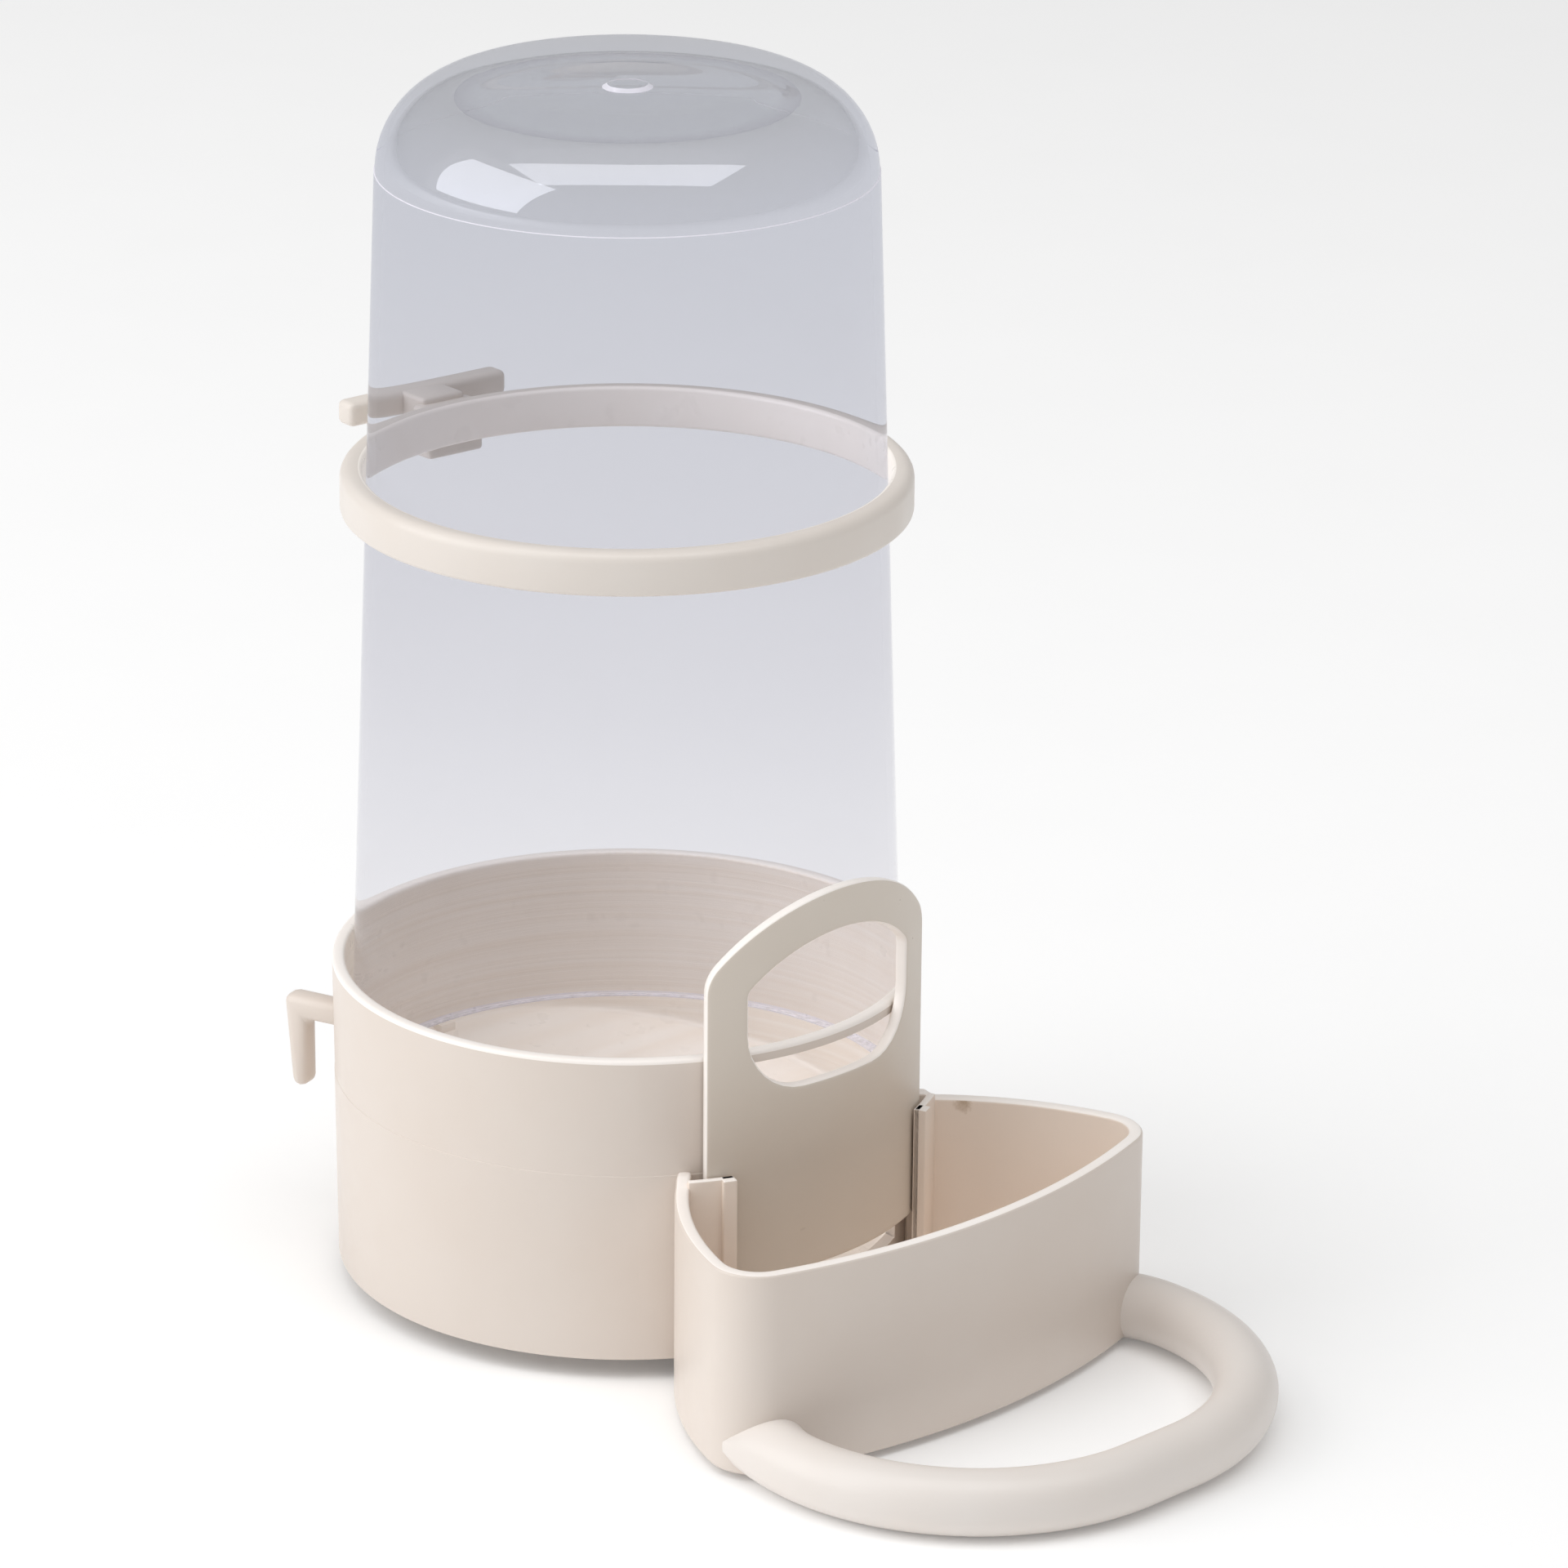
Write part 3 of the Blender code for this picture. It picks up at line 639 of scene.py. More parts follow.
def clear_inside(name, looks, seam, corner=None):
    """The untinted inner surface: it shines above the seam. With a corner, its tint deepens towards it, a
    painted shade.
    """
    material, tree, shader, coordinates = new_finish(name)
    height = polished(tree, shader, coordinates, INSIDE_IOR)
    shader.inputs["Base Color"].default_value = (1, 1, 1, 1)
    tree.links.new(spread(tree, height, 0, 1, seam, seam + 0.001), shader.inputs["Coat Weight"])
    shader.inputs["Coat IOR"].default_value = SHINE_IOR
    if corner is not None:
        level = add_node(tree, "ShaderNodeVectorMath", operation="MULTIPLY")
        level.inputs[1].default_value = (1, 1, 0)
        tree.links.new(coordinates, level.inputs[0])
        radius = add_node(tree, "ShaderNodeVectorMath", operation="LENGTH")
        tree.links.new(level.outputs["Vector"], radius.inputs[0])
        # Painted shade: the ring's mask, darkest at the ceiling's edge
        depth = spread(tree, radius.outputs["Value"], 0, 1, corner * CORNER_SHARE, corner)
        tint = mix_colour(tree, depth, looks.clear_ceiling, looks.clear_corner_shade)
        tree.links.new(tint, shader.inputs["Base Color"])
    let_light_pass(tree, shader, looks.clear_lamps)
    return material


def frosted_finish(name, looks):
    """The cut or moulded edges of clear plastic, which catch the light."""
    material, tree, shader, coordinates = new_finish(name)
    set_inputs(shader, Base_Color=(*looks.clear_edge, 1), IOR=FROST_IOR)
    glints = noise(tree, coordinates, scale=900, detail=3)
    tree.links.new(spread(tree, glints, 0.15, 0.55), shader.inputs["Transmission Weight"])
    tree.links.new(spread(tree, glints, 0.25, 0.45), shader.inputs["Roughness"])
    let_light_pass(tree, shader, looks.clear_lamps)
    return material


def heading(start, end):
    return math.atan2(end[1] - start[1], end[0] - start[0])


def trough_arcs(trough, cup):
    """Centres and turns of the arcs of one half of the trough's outline, from the front to the root."""
    front = Vector((0, trough.front_radius - trough.front))
    across = trough.half_width - trough.corner_radius
    drop = math.sqrt((trough.front_radius - trough.corner_radius) ** 2 - across**2)
    corner = Vector((across, front.y - drop))
    root = cup.radius * Vector((math.sin(trough.root), -math.cos(trough.root)))
    inner = trough.side_radius - trough.corner_radius
    span = (root - corner).length
    along = (inner**2 - trough.side_radius**2 + span**2) / (2 * span)
    aside = math.sqrt(inner**2 - along**2)
    unit = (root - corner) / span
    side = corner + unit * along + Vector((-unit.y, unit.x)) * aside
    turn = heading(front, corner)
    bend = heading(side, corner)
    end = heading(side, root) + trough.into_cup / trough.side_radius
    return (front, turn + math.pi / 2), (corner, bend - turn), (side, end - bend)


class DRINKER_OT_make_cup(bpy.types.Operator):
    """Turn the base cup, slope its floor, cut the water passage and add the seat ribs"""

    bl_idname = "drinker.make_cup"
    bl_label = "Base Cup"

    def execute(self, context):
        settings = context.scene.drinker
        s = settings.cup
        inner = s.radius - s.wall
        under = s.ramp - s.ramp_thickness
        foot_inner = s.foot_radius - s.foot_wall

        def outside(z):
            return s.radius - s.draft * (1 - z / s.rim)

        bm = bmesh.new()
        pen = Pen(bm, (0, 0, under), SIDEWAYS)
        for x, z in (
            (foot_inner, under),
            (foot_inner, 0),
            (s.foot_radius, 0),
            (s.foot_radius, under),
            (inner - s.draft, under),
            (inner - s.draft, s.edge),
            (outside(s.edge), s.edge),
            (outside(s.parting), s.parting - s.step),
            (outside(s.parting) - s.step, s.parting),
            (s.radius, s.rim),
            (inner, s.rim),
            (inner, s.ramp),
            (0, s.ramp),
        ):
            pen.line((x, 0, z))
        turn_profile(bm, settings.round_steps)
        for vert in bm.verts:
            if near(vert.co.z, under) or near(vert.co.z, s.ramp):
                vert.co.z += s.slope * vert.co.y
        round_edges(bm, edges_where(bm, lambda r, z, v: near(z, s.rim)), s.rim_round, 4)
        low = edges_where(bm, lambda r, z, v: near(z, s.edge) or near(z, 0))
        round_edges(bm, sharp_edges(low, degrees=40), s.rim_round / 2, 2)
        foot = edges_where(bm, lambda r, z, v: near(r, inner) and near(z, s.ramp + s.slope * v.co.y))
        round_edges(bm, foot, 2 * s.rim_round, 3)
        self.cut_passage(bm, s, inner)
        self.add_ribs(bm, s, inner)
        # The well takes the paler painted-light ivory, the rim's top the painted highlight
        for face in bm.faces:
            centre = face.calc_center_median()
            in_well = centre.z > s.ramp + s.slope * centre.y - s.ramp_thickness / 2
            if in_well and centre.xy.length < inner + 0.0001:
                face.material_index = 1
            elif centre.z > s.rim - s.rim_round:
                face.material_index = 2
        looks = settings.finishes
        finishes = [
            ivory_finish("ivory_cup", looks, looks.ivory, SATIN),
            ivory_finish("ivory_cup_inside", looks, looks.ivory_painted_light, BRIGHT, rings=0.4),
            ivory_finish("ivory_rim", looks, looks.ivory_painted_highlight, SMOOTH),
        ]
        finish_piece(bm, "cup", "base_cup", finishes)
        return {"FINISHED"}

    def cut_passage(self, bm, s, inner):
        """Cut the front wall along the opening's sides, take the panel out and close the cut wall."""
        half = s.passage / 2
        top = s.rim - s.bar
        sill = s.ramp + SILL_ROUNDS * s.rim_round

        def in_front(face):
            centre = face.calc_center_median()
            return centre.y < -inner * 0.8 and abs(face.normal.z) < 0.8 and centre.xy.length > inner * 0.99

        for point, normal in (
            ((half, 0, 0), (1, 0, 0)),
            ((-half, 0, 0), (1, 0, 0)),
            ((0, 0, sill), (0, -s.slope, 1)),
            ((0, 0, top), (0, 0, 1)),
        ):
            faces = [face for face in bm.faces if in_front(face)]
            edges = {edge for face in faces for edge in face.edges}
            verts = {vert for face in faces for vert in face.verts}
            bmesh.ops.bisect_plane(
                bm, geom=[*faces, *edges, *verts], dist=WELD_REACH, plane_co=point, plane_no=normal
            )
        panel = []
        for face in bm.faces:
            centre = face.calc_center_median()
            above_sill = centre.z - s.slope * centre.y > sill
            if in_front(face) and abs(centre.x) < half and above_sill and centre.z < top:
                panel.append(face)
        bmesh.ops.delete(bm, geom=panel, context="FACES")
        bmesh.ops.bridge_loops(bm, edges=[edge for edge in bm.edges if edge.is_boundary])
        face_outwards(bm)

    def add_ribs(self, bm, s, inner):
        outer = inner + s.wall / 2
        free = inner - s.rib_depth
        for degrees in RIB_ANGLES:
            turn = Matrix.Rotation(math.radians(degrees), 4, "Z")
            foot = s.ramp + s.slope * free * math.cos(math.radians(degrees)) - s.ramp_thickness / 2
            centre = Vector((0, (outer + free) / 2, (s.seat + foot) / 2))
            size = (s.rib_width, outer - free, s.seat - foot)
            rounded_box(bm, size, centre, s.rim_round / 2, 2, turn)


class DRINKER_OT_make_hooks(bpy.types.Operator):
    """Draw a cage hook from the side, give it its width, round it and stand one on each side of the cup"""

    bl_idname = "drinker.make_hooks"
    bl_label = "Cage Hooks"

    def execute(self, context):
        settings = context.scene.drinker
        s = settings.hooks
        cup = settings.cup
        reach = s.gap + s.finger
        root = -cup.wall / 2
        hooks = bmesh.new()
        for side in (-1, 1):
            bm = bmesh.new()
            pen = Pen(bm, (0, root, 0), UP)
            for y, z in (
                (root, -s.depth),
                (s.gap, -s.depth),
                (s.gap, -s.drop),
                (reach - s.lean * s.drop, -s.drop),
                (reach, 0),
                (root, 0),
            ):
                pen.line((0, y, z))
            merge(bm)
            bmesh.ops.contextual_create(bm, geom=bm.edges[:])
            made = bmesh.ops.extrude_face_region(bm, geom=bm.faces[:])
            bmesh.ops.translate(bm, verts=verts_in(made["geom"]), vec=(s.width, 0, 0))
            weld(bm)
            round_edges(bm, bm.edges[:], s.edge, 3)
            x = side * cup.radius * math.sin(s.root)
            y = cup.radius * math.cos(s.root)
            stand = Matrix.Translation((x, y, s.top)) @ Matrix.Rotation(-side * s.splay, 4, "Z")
            bm.transform(stand @ Matrix.Translation((-s.width / 2, 0, 0)))
            add_mesh(hooks, bm)
        weld(hooks)
        looks = settings.finishes
        finish = ivory_finish("ivory_hooks", looks, looks.ivory, SATIN)
        finish_piece(hooks, "cage_hooks", "base_cup", [finish])
        return {"FINISHED"}


class DRINKER_OT_make_trough(bpy.types.Operator):
    """Draw the trough's outline, raise its walls, thicken and round it, and add the shutter's guide lips"""

    bl_idname = "drinker.make_trough"
    bl_label = "Drinking Trough"

    def execute(self, context):
        settings = context.scene.drinker
        s = settings.trough
        arcs = trough_arcs(s, settings.cup)
        bm = bmesh.new()
        pen = Pen(bm, (0, -s.front, s.bottom), UP)
        for (centre, turn), count in zip(arcs, TROUGH_STEPS):
            pen.arc((centre.x, centre.y, 0), turn, count)
        back = math.atan2(pen.vert.co.x, -pen.vert.co.y)
        pen.arc((0, 0, 0), -2 * back, BACK_STEPS)
        for (centre, turn), count in reversed(list(zip(arcs, TROUGH_STEPS))):
            pen.arc((-centre.x, centre.y, 0), turn, count)
        merge(bm)
        bmesh.ops.contextual_create(bm, geom=bm.edges[:])
        limit = settings.cup.radius - s.into_cup / 2
        walls = [edge for edge in bm.edges if max(vert.co.xy.length for vert in edge.verts) > limit]
        made = bmesh.ops.extrude_edge_only(bm, edges=walls)
        raised = verts_in(made["geom"])
        bmesh.ops.translate(bm, verts=raised, vec=(0, 0, s.rim - s.bottom))
        for vert in raised:
            if vert.co.xy.length < settings.cup.radius + s.post:
                vert.co.z += s.lip_rise
        face_outwards(bm)
        looks = settings.finishes
        finishes = [
            ivory_finish("ivory_trough", looks, looks.ivory, SATIN),
            ivory_finish("ivory_trough_inside", looks, looks.ivory_painted_bounce, SMOOTH, stain=looks.stain_place),
            ivory_finish("ivory_trough_rim", looks, looks.ivory_painted_highlight, SMOOTH),
        ]
        trough = finish_piece(bm, "trough_shell", "trough", finishes, crease=60)
        shell = trough.modifiers.new("wall", "SOLIDIFY")
        # The thickened inside takes the painted bounce-light ivory, the walls' top edges the painted
        # highlight
        shell.material_offset = 1
        shell.material_offset_rim = 2
        shell.thickness = s.wall
        shell.offset = -1
        shell.use_even_offset = True
        rounding = trough.modifiers.new("rounding", "BEVEL")
        rounding.width = s.edge
        rounding.segments = 3
        rounding.limit_method = "ANGLE"
        rounding.angle_limit = math.radians(50)
        self.add_lips(settings)
        return {"FINISHED"}

    def add_lips(self, settings):
        s = settings.trough
        bm = bmesh.new()
        top = s.rim + s.lip_rise
        foot = s.bottom + s.wall / 2
        root = s.root - settings.cup.wall / settings.cup.radius / 2
        for outer, start, end in (
            (s.lip_radius + s.lip, s.lip_end, root),
            (s.lip_radius + s.bead, s.lip_end, s.lip_end + s.bead_turn),
        ):
            strip = bmesh.new()
            corners = ((s.lip_radius, foot), (outer, foot), (outer, top), (s.lip_radius, top))
            turn = Matrix.Rotation(start - math.pi / 2, 4, "Z")
            verts = [strip.verts.new(turn @ Vector((r, 0, z))) for r, z in corners]
            strip.faces.new(verts)
            spin(strip, everything(strip), end - start, LIP_STEPS)
            weld(strip)
            round_edges(strip, sharp_edges(strip.edges, degrees=50), s.lip / 4, 2)
            add_mesh(bm, strip)
        bmesh.ops.mirror(bm, geom=everything(bm), axis="X", merge_dist=-1)
        face_outwards(bm)
        looks = settings.finishes
        # Upward faces, the lip tops, take the painted highlight; the lips' sides take the painted bounce
        # light
        for face in bm.faces:
            face.material_index = int(face.normal.z > 0.5)
        finishes = [
            ivory_finish("ivory_lips", looks, looks.ivory_painted_bounce, SATIN),
            ivory_finish("ivory_lip_tops", looks, looks.ivory_painted_highlight, SATIN),
        ]
        finish_piece(bm, "guide_lips", "trough", finishes)


class DRINKER_OT_make_perch(bpy.types.Operator):
    """Bend a round bar into the perch and run its ends into the trough's corners"""

    bl_idname = "drinker.make_perch"
    bl_label = "Perch"

    def execute(self, context):
        settings = context.scene.drinker
        s = settings.perch
        trough = settings.trough
        (front, _), (corner, _), _ = trough_arcs(trough, settings.cup)
        bend = Vector((s.half_span - s.corner, s.corner - s.reach, s.height))
        bm = bmesh.new()
        lying = Matrix.Translation((s.half_span, corner.y, s.height)) @ Matrix.Rotation(math.pi / 2, 4, "X")
        bmesh.ops.create_circle(bm, cap_ends=False, segments=BAR_SEGMENTS, radius=s.radius, matrix=lying)
        end = bm.edges[:]
        for _ in range(LEG_STEPS):
            end = self.draw_out(bm, end, (0, (bend.y - corner.y) / LEG_STEPS, 0))
        end = self.bend_round(bm, end, bend)
        end = self.draw_out(bm, end, (-2 * bend.x, 0, 0))
        end = self.bend_round(bm, end, Vector((-bend.x, bend.y, bend.z)))
        for _ in range(LEG_STEPS):
            end = self.draw_out(bm, end, (0, (corner.y - bend.y) / LEG_STEPS, 0))
        for vert in bm.verts:
            along = (vert.co.y - bend.y) / (corner.y - bend.y)
            if along > 0:
                vert.co.x -= math.copysign(s.toe_in * along**2, vert.co.x)
                across = min(abs(vert.co.x) - corner.x, trough.corner_radius)
                on_corner = corner.y - math.sqrt(trough.corner_radius**2 - across**2)
                on_front = front.y - math.sqrt(trough.front_radius**2 - vert.co.x**2)
                past_bend = heading(front, corner) < heading(front, (abs(vert.co.x), on_front))
                root = (on_corner if past_bend else on_front) + trough.wall / 2
                vert.co.y = bend.y + along * (root - bend.y)
        weld(bm)
        looks = settings.finishes
        finish = ivory_finish("ivory_perch", looks, looks.ivory_perch, DULL)
        finish_piece(bm, "perch_bar", "perch", [finish])
        return {"FINISHED"}

    def draw_out(self, bm, edges, way):
        made = bmesh.ops.extrude_edge_only(bm, edges=edges)["geom"]
        bmesh.ops.translate(bm, verts=verts_in(made), vec=way)
        return edges_in(made)

    def bend_round(self, bm, edges, centre):
        verts = {vert for edge in edges for vert in edge.verts}
        return edges_in(spin(bm, [*verts, *edges], -math.pi / 2, BEND_STEPS, centre))


class DRINKER_OT_make_shutter(bpy.types.Operator):
    """Cut the shutter flat with its finger hole, round its edges and bend it round the cup"""

    bl_idname = "drinker.make_shutter"
    bl_label = "Shutter"

    def execute(self, context):
        settings = context.scene.drinker
        s = settings.shutter
        bm = bmesh.new()
        self.draw_arch(bm, s.half_width, 0, s.height, s.top_radius, s.corner, s.thickness / 2)
        hole_top = s.height - s.margin
        hole_bottom = hole_top - s.hole_height
        hole_radius = s.top_radius - s.margin
        self.draw_arch(
            bm, s.half_width - s.margin, hole_bottom, hole_top, hole_radius, s.hole_corner, s.hole_foot
        )
        merge(bm)
        bmesh.ops.triangle_fill(bm, use_beauty=True, use_dissolve=False, edges=bm.edges[:], normal=(0, -1, 0))
        bmesh.ops.inset_region(
            bm, faces=bm.faces[:], thickness=2 * s.edge, depth=0, use_boundary=True, use_even_offset=True
        )
        made = bmesh.ops.extrude_face_region(bm, geom=bm.faces[:])
        bmesh.ops.translate(bm, verts=verts_in(made["geom"]), vec=(0, s.thickness, 0))
        weld(bm)
        round_edges(bm, sharp_edges(bm.edges, degrees=60), s.edge, 3)
        for i in range(1, SHUTTER_SLICES):
            x = s.half_width * (2 * i / SHUTTER_SLICES - 1)
            bmesh.ops.bisect_plane(
                bm, geom=everything(bm), dist=WELD_REACH, plane_co=(x, 0, 0), plane_no=(1, 0, 0)
            )
        outer = s.inner + s.thickness
        for vert in bm.verts:
            turn = vert.co.x / outer
            radius = outer - vert.co.y
            vert.co = (radius * math.sin(turn), -radius * math.cos(turn), s.bottom + vert.co.z)
        face_outwards(bm)
        # Faces that don't face out from the axis, the plate's edges and the finger hole's sides, take the
        # painted highlight
        for face in bm.faces:
            across = face.calc_center_median().xy.normalized()
            if abs(face.normal.xy.dot(across)) < 0.9:
                face.material_index = 1
        looks = settings.finishes
        finishes = [
            ivory_finish("ivory_shutter", looks, looks.ivory_grey, SMOOTH),
            ivory_finish("ivory_shutter_edge", looks, looks.ivory_painted_highlight, SMOOTH),
        ]
        finish_piece(bm, "shutter_gate", "shutter", finishes)
        return {"FINISHED"}

    def draw_arch(self, bm, half, bottom, top, radius, corner, foot):
        """An arch with a flat foot, straight sides and rounded corners, in the XZ plane."""
        centre = Vector((0, 0, top - radius))
        across = half - corner
        rise = math.sqrt((radius - corner) ** 2 - across**2)
        lean = math.atan2(rise, across)
        shoulder = centre + Vector((across, 0, rise))
        pen = Pen(bm, (0, 0, top), SIDEWAYS)
        pen.arc(centre, math.pi / 2 - lean, ARCH_STEPS)
        pen.arc(shoulder, lean, CORNER_STEPS)
        pen.line((half, 0, bottom + foot))
        pen.arc((half - foot, 0, bottom + foot), math.pi / 2, CORNER_STEPS)
        pen.line((foot - half, 0, bottom))
        pen.arc((foot - half, 0, bottom + foot), math.pi / 2, CORNER_STEPS)
        pen.line((-half, 0, shoulder.z))
        pen.arc((-shoulder.x, 0, shoulder.z), lean, CORNER_STEPS)
        pen.arc(centre, math.pi / 2 - lean, ARCH_STEPS)


class DRINKER_OT_make_bottle(bpy.types.Operator):
    """Turn the clear bottle with its dished end, gate mark, rounded shoulder and tapered wall"""

    bl_idname = "drinker.make_bottle"
    bl_label = "Bottle"

    def execute(self, context):
        settings = context.scene.drinker
        s = settings.bottle
        dish = s.height - s.dish
        seam = s.height - s.shoulder
        below = s.mouth - s.taper * seam
        bm = bmesh.new()
        pen = Pen(bm, (0, 0, dish + s.gate_height), SIDEWAYS)
        pen.line((s.gate * GATE_FLAT, 0, dish + s.gate_height))
        pen.line((s.gate, 0, dish))
        for i in range(1, DISH_STEPS + 1):
            part = i / DISH_STEPS
            pen.line((s.gate + (s.end_radius - s.gate) * part, 0, dish + s.dish * part**2))
        self.draw_shoulder(pen, s.end_radius, seam, below - s.seam - s.end_radius, s.shoulder, False)
        pen.line((below, 0, seam - 0.8 * s.seam))
        pen.line((s.mouth, 0, 0))
        pen.line((s.mouth - s.wall, 0, 0))
        pen.line((below - s.wall, 0, seam))
        width = below - s.wall - s.ceiling
        self.draw_shoulder(pen, s.ceiling, seam, width, s.shoulder - s.end, True)
        pen.line((0, 0, s.height - s.end))
        turn_profile(bm, settings.round_steps)
        mouth = edges_where(bm, lambda r, z, v: near(z, 0))
        round_edges(bm, sharp_edges(mouth, degrees=40), s.wall / 5, 2)
        self.sort_faces(bm, s)
        bmesh.ops.translate(bm, verts=bm.verts[:], vec=(0, 0, s.bottom))
        looks = settings.finishes
        top = s.bottom + s.height
        finishes = [
            clear_outside("clear_outside", looks, s.bottom, top - END_TINT_SHARE * s.shoulder, top),
            clear_inside("clear_inside", looks, s.bottom + seam),
            clear_inside("clear_ceiling", looks, top, s.ceiling),
            frosted_finish("clear_edges", looks),
        ]
        finish_piece(bm, "bottle_shell", "bottle", finishes, crease=25)
        return {"FINISHED"}

    def sort_faces(self, bm, s):
        """Give the inside, the ceiling, and the mouth, seam and gate mark finishes of their own."""
        seam = s.height - s.shoulder
        for face in bm.faces:
            centre = face.calc_center_median()
            radius = centre.xy.length
            outwards = face.normal.xy.dot(centre.xy) > 0
            gate = s.gate * GATE_FLAT < radius < s.gate and centre.z > s.height - s.end / 2
            ledge = outwards and seam - s.seam < centre.z < seam
            if centre.z < s.wall / 4 or gate or ledge:
                face.material_index = 3
            elif radius < s.ceiling and face.normal.z < -0.9:
                face.material_index = 2
            elif centre.z < s.height - s.end / 2 and (not outwards or face.normal.z < 0):
                face.material_index = 1

    def draw_shoulder(self, pen, across, seam, width, height, upwards):
        """A quarter of an ellipse, drawn as a round arc and then stretched to its height."""
        before = set(pen.bm.verts)
        start = Vector((across + width, 0, seam)) if upwards else Vector((across, 0, seam + width))
        first = pen.vert
        first.co = start
        pen.arc((across, 0, seam), -math.pi / 2 if upwards else math.pi / 2, SHOULDER_STEPS)
        for vert in [first, *(set(pen.bm.verts) - before)]:
            vert.co.z = seam + (vert.co.z - seam) * height / width


class DRINKER_OT_make_ring(bpy.types.Operator):
    """Turn the retaining ring and add its pad, neck and cross bar"""

    bl_idname = "drinker.make_ring"
    bl_label = "Retaining Ring"

    def execute(self, context):
        settings = context.scene.drinker
        s = settings.ring
        outer = s.bore + s.wall
        bm = bmesh.new()
        pen = Pen(bm, (s.bore, 0, 0), SIDEWAYS)
        for x, z in ((outer, 0), (outer, s.height), (s.bore, s.height), (s.bore, 0)):
            pen.line((x, 0, z))
        merge(bm)
        turn_profile(bm, settings.round_steps)
        round_edges(bm, edges_where(bm, lambda r, z, v: near(z, s.height) and near(r, outer)), s.nose, 5)
        others = edges_where(bm, lambda r, z, v: near(z, 0) or (near(z, s.height) and near(r, s.bore)))
        round_edges(bm, sharp_edges(others, degrees=40), s.edge, 3)
        pad_back = outer + s.pad_stand
        pad_front = s.bore + s.wall / 2
        pad_top = s.height - s.nose / 2
        middle = (0, (pad_back + pad_front) / 2, (pad_top - s.pad_drop) / 2)
        rounded_box(bm, (s.pad_width, pad_back - pad_front, pad_top + s.pad_drop), middle, s.edge, 3)
        bar_height = s.height / 2 + s.lift
        neck_front = pad_back - s.pad_stand / 2
        neck_back = pad_back + s.gap + s.bar / 2
        middle = (0, (neck_front + neck_back) / 2, bar_height)
        rounded_box(bm, (s.neck_width, neck_back - neck_front, s.neck_height), middle, s.edge, 3)
        rounded_box(bm, (s.bar_length, s.bar, s.bar), (0, neck_back, bar_height), s.edge * 1.6, 4)
        bm.transform(Matrix.Translation((0, 0, s.bottom)) @ Matrix.Rotation(s.turn, 4, "Z"))
        face_outwards(bm)
        # The bore's faces take the paler painted-light ivory
        for face in bm.faces:
            if face.calc_center_median().xy.length < s.bore + s.edge:
                face.material_index = 1
        looks = settings.finishes
        finishes = [
            ivory_finish("ivory_ring", looks, looks.ivory_pale, DULL),
            ivory_finish("ivory_ring_inside", looks, looks.ivory_painted_light, BRIGHT),
        ]
        finish_piece(bm, "ring_clip", "retaining_ring", finishes)
        return {"FINISHED"}


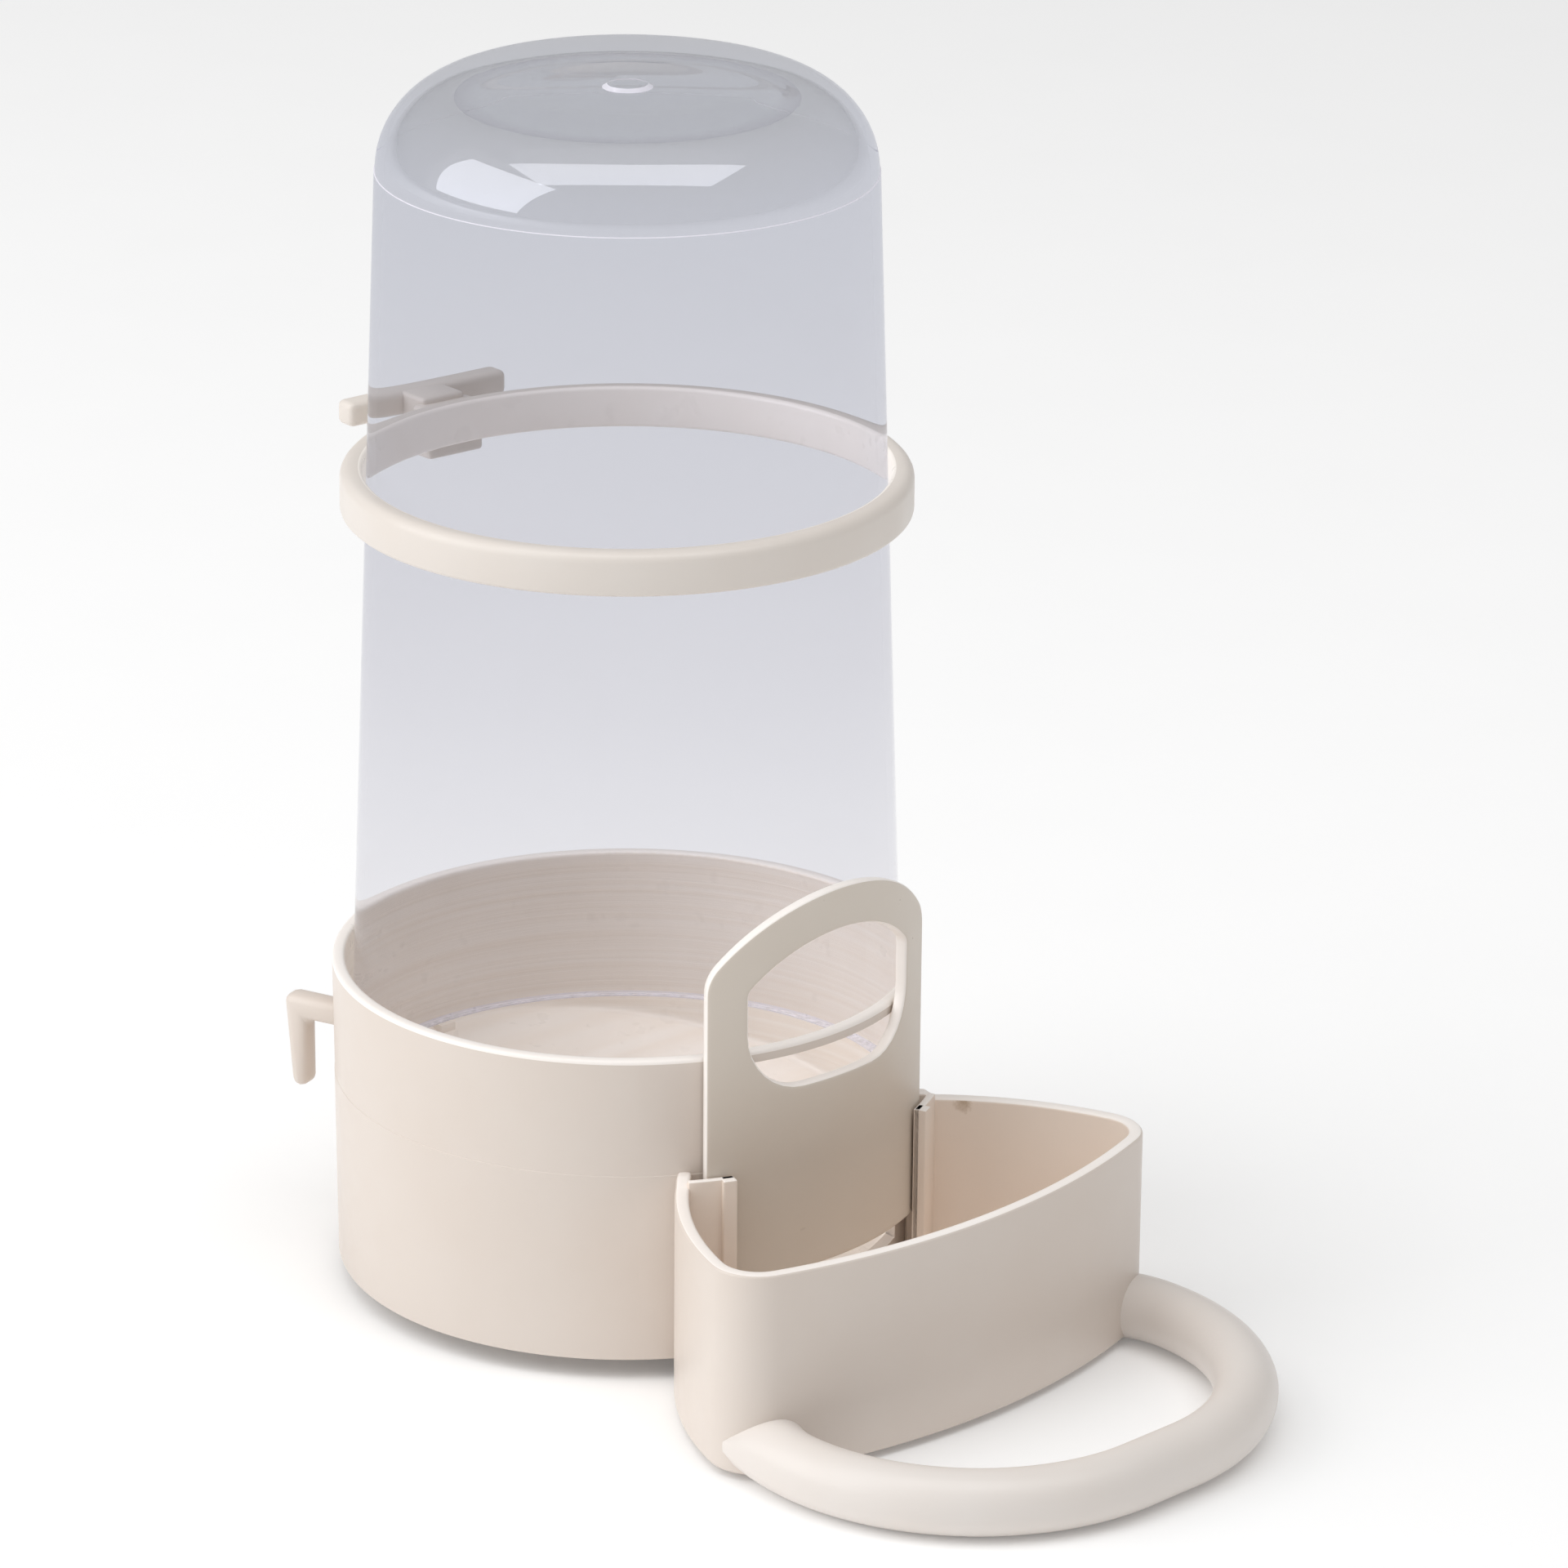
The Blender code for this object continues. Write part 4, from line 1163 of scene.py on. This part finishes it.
class DRINKER_OT_make_stage(bpy.types.Operator):
    """Lay a pale floor, hang the softboxes and set the camera"""

    bl_idname = "drinker.make_stage"
    bl_label = "Stage"

    def execute(self, context):
        s = context.scene.drinker.stage
        self.lay_floor(s)
        self.light(context.scene, s)
        self.set_camera(context.scene, s)
        return {"FINISHED"}

    def lay_floor(self, s):
        bm = bmesh.new()
        bmesh.ops.create_grid(bm, x_segments=1, y_segments=1, size=FLOOR_HALF)
        mesh = to_mesh(bm, "floor")
        material, tree, shader, coordinates = new_finish("pale_floor")
        set_inputs(shader, Base_Color=(*s.floor, 1))
        set_inputs(shader, Emission_Color=(*s.sky, 1), Emission_Strength=s.floor_glow)
        scuffs = noise(tree, coordinates, scale=30, detail=3)
        tree.links.new(spread(tree, scuffs, 0.75, 0.85), shader.inputs["Roughness"])
        mesh.materials.append(material)
        floor = add_object("floor", mesh)

    def light(self, scene, s):
        world = bpy.data.worlds.new("studio")
        world.use_nodes = True
        background = world.node_tree.nodes["Background"]
        set_inputs(background, Color=(*s.sky, 1), Strength=s.sky_strength)
        scene.world = world
        scene.view_settings.view_transform = "Standard"
        across = Vector(s.view).cross(UP).normalized()
        for name, power, size, where in (
            ("key_softbox", s.key_power, KEY_SIZE, s.key_place),
            ("top_softbox", s.top_power, TOP_SIZE, s.top_place),
        ):
            lamp = bpy.data.lights.new(name, "AREA")
            lamp.shape = "RECTANGLE"
            lamp.size, lamp.size_y = size
            lamp.energy = power
            softbox = add_object(name, lamp)
            softbox.location = where
            away = (Vector(where) - LIGHT_TARGET).normalized()
            level = across if abs(away.z) > 0.9 else UP.cross(away).normalized()
            frame_of = Matrix((level, away.cross(level), away)).transposed()
            softbox.rotation_euler = frame_of.to_euler()

    def set_camera(self, scene, s):
        data = bpy.data.cameras.new("camera")
        data.sensor_width = SENSOR_WIDTH
        data.lens = s.lens
        data.shift_x = s.shift
        data.clip_start = 0.01
        camera = add_object("camera", data)
        turned = Vector(s.view).to_track_quat("-Z", "Y").to_matrix() @ Matrix.Rotation(s.roll, 3, "Z")
        camera.matrix_world = Matrix.Translation(s.camera) @ turned.to_4x4()
        scene.camera = camera


MAKERS = (
    DRINKER_OT_make_stage,
    DRINKER_OT_make_cup,
    DRINKER_OT_make_hooks,
    DRINKER_OT_make_trough,
    DRINKER_OT_make_perch,
    DRINKER_OT_make_shutter,
    DRINKER_OT_make_bottle,
    DRINKER_OT_make_ring,
)


class DRINKER_PT_sidebar(bpy.types.Panel):
    """Buttons for each group of pieces, with its sizes"""

    bl_label = "Water Drinker"
    bl_idname = "DRINKER_PT_sidebar"
    bl_space_type = "VIEW_3D"
    bl_region_type = "UI"
    bl_category = "Drinker"

    def draw(self, context):
        for maker in MAKERS:
            self.layout.operator(maker.bl_idname)
        settings = context.scene.drinker
        for name in ("cup", "hooks", "trough", "perch", "shutter", "bottle", "ring", "finishes", "stage"):
            group = getattr(settings, name)
            box = self.layout.box()
            box.label(text=group.bl_rna.name)
            for key in group.__annotations__:
                box.prop(group, key)


CLASSES = (
    CupSizes,
    HookSizes,
    TroughSizes,
    PerchSizes,
    ShutterSizes,
    BottleSizes,
    RingSizes,
    Finishes,
    StageLook,
    DrinkerSettings,
    *MAKERS,
    DRINKER_PT_sidebar,
)


def register():
    for cls in CLASSES:
        bpy.utils.register_class(cls)
    bpy.types.Scene.drinker = PointerProperty(type=DrinkerSettings)


def unregister():
    del bpy.types.Scene.drinker
    for cls in reversed(CLASSES):
        bpy.utils.unregister_class(cls)


def main():
    register()
    for maker in MAKERS:
        getattr(bpy.ops.drinker, maker.bl_idname.split(".")[1])()


if __name__ == "__main__":
    main()
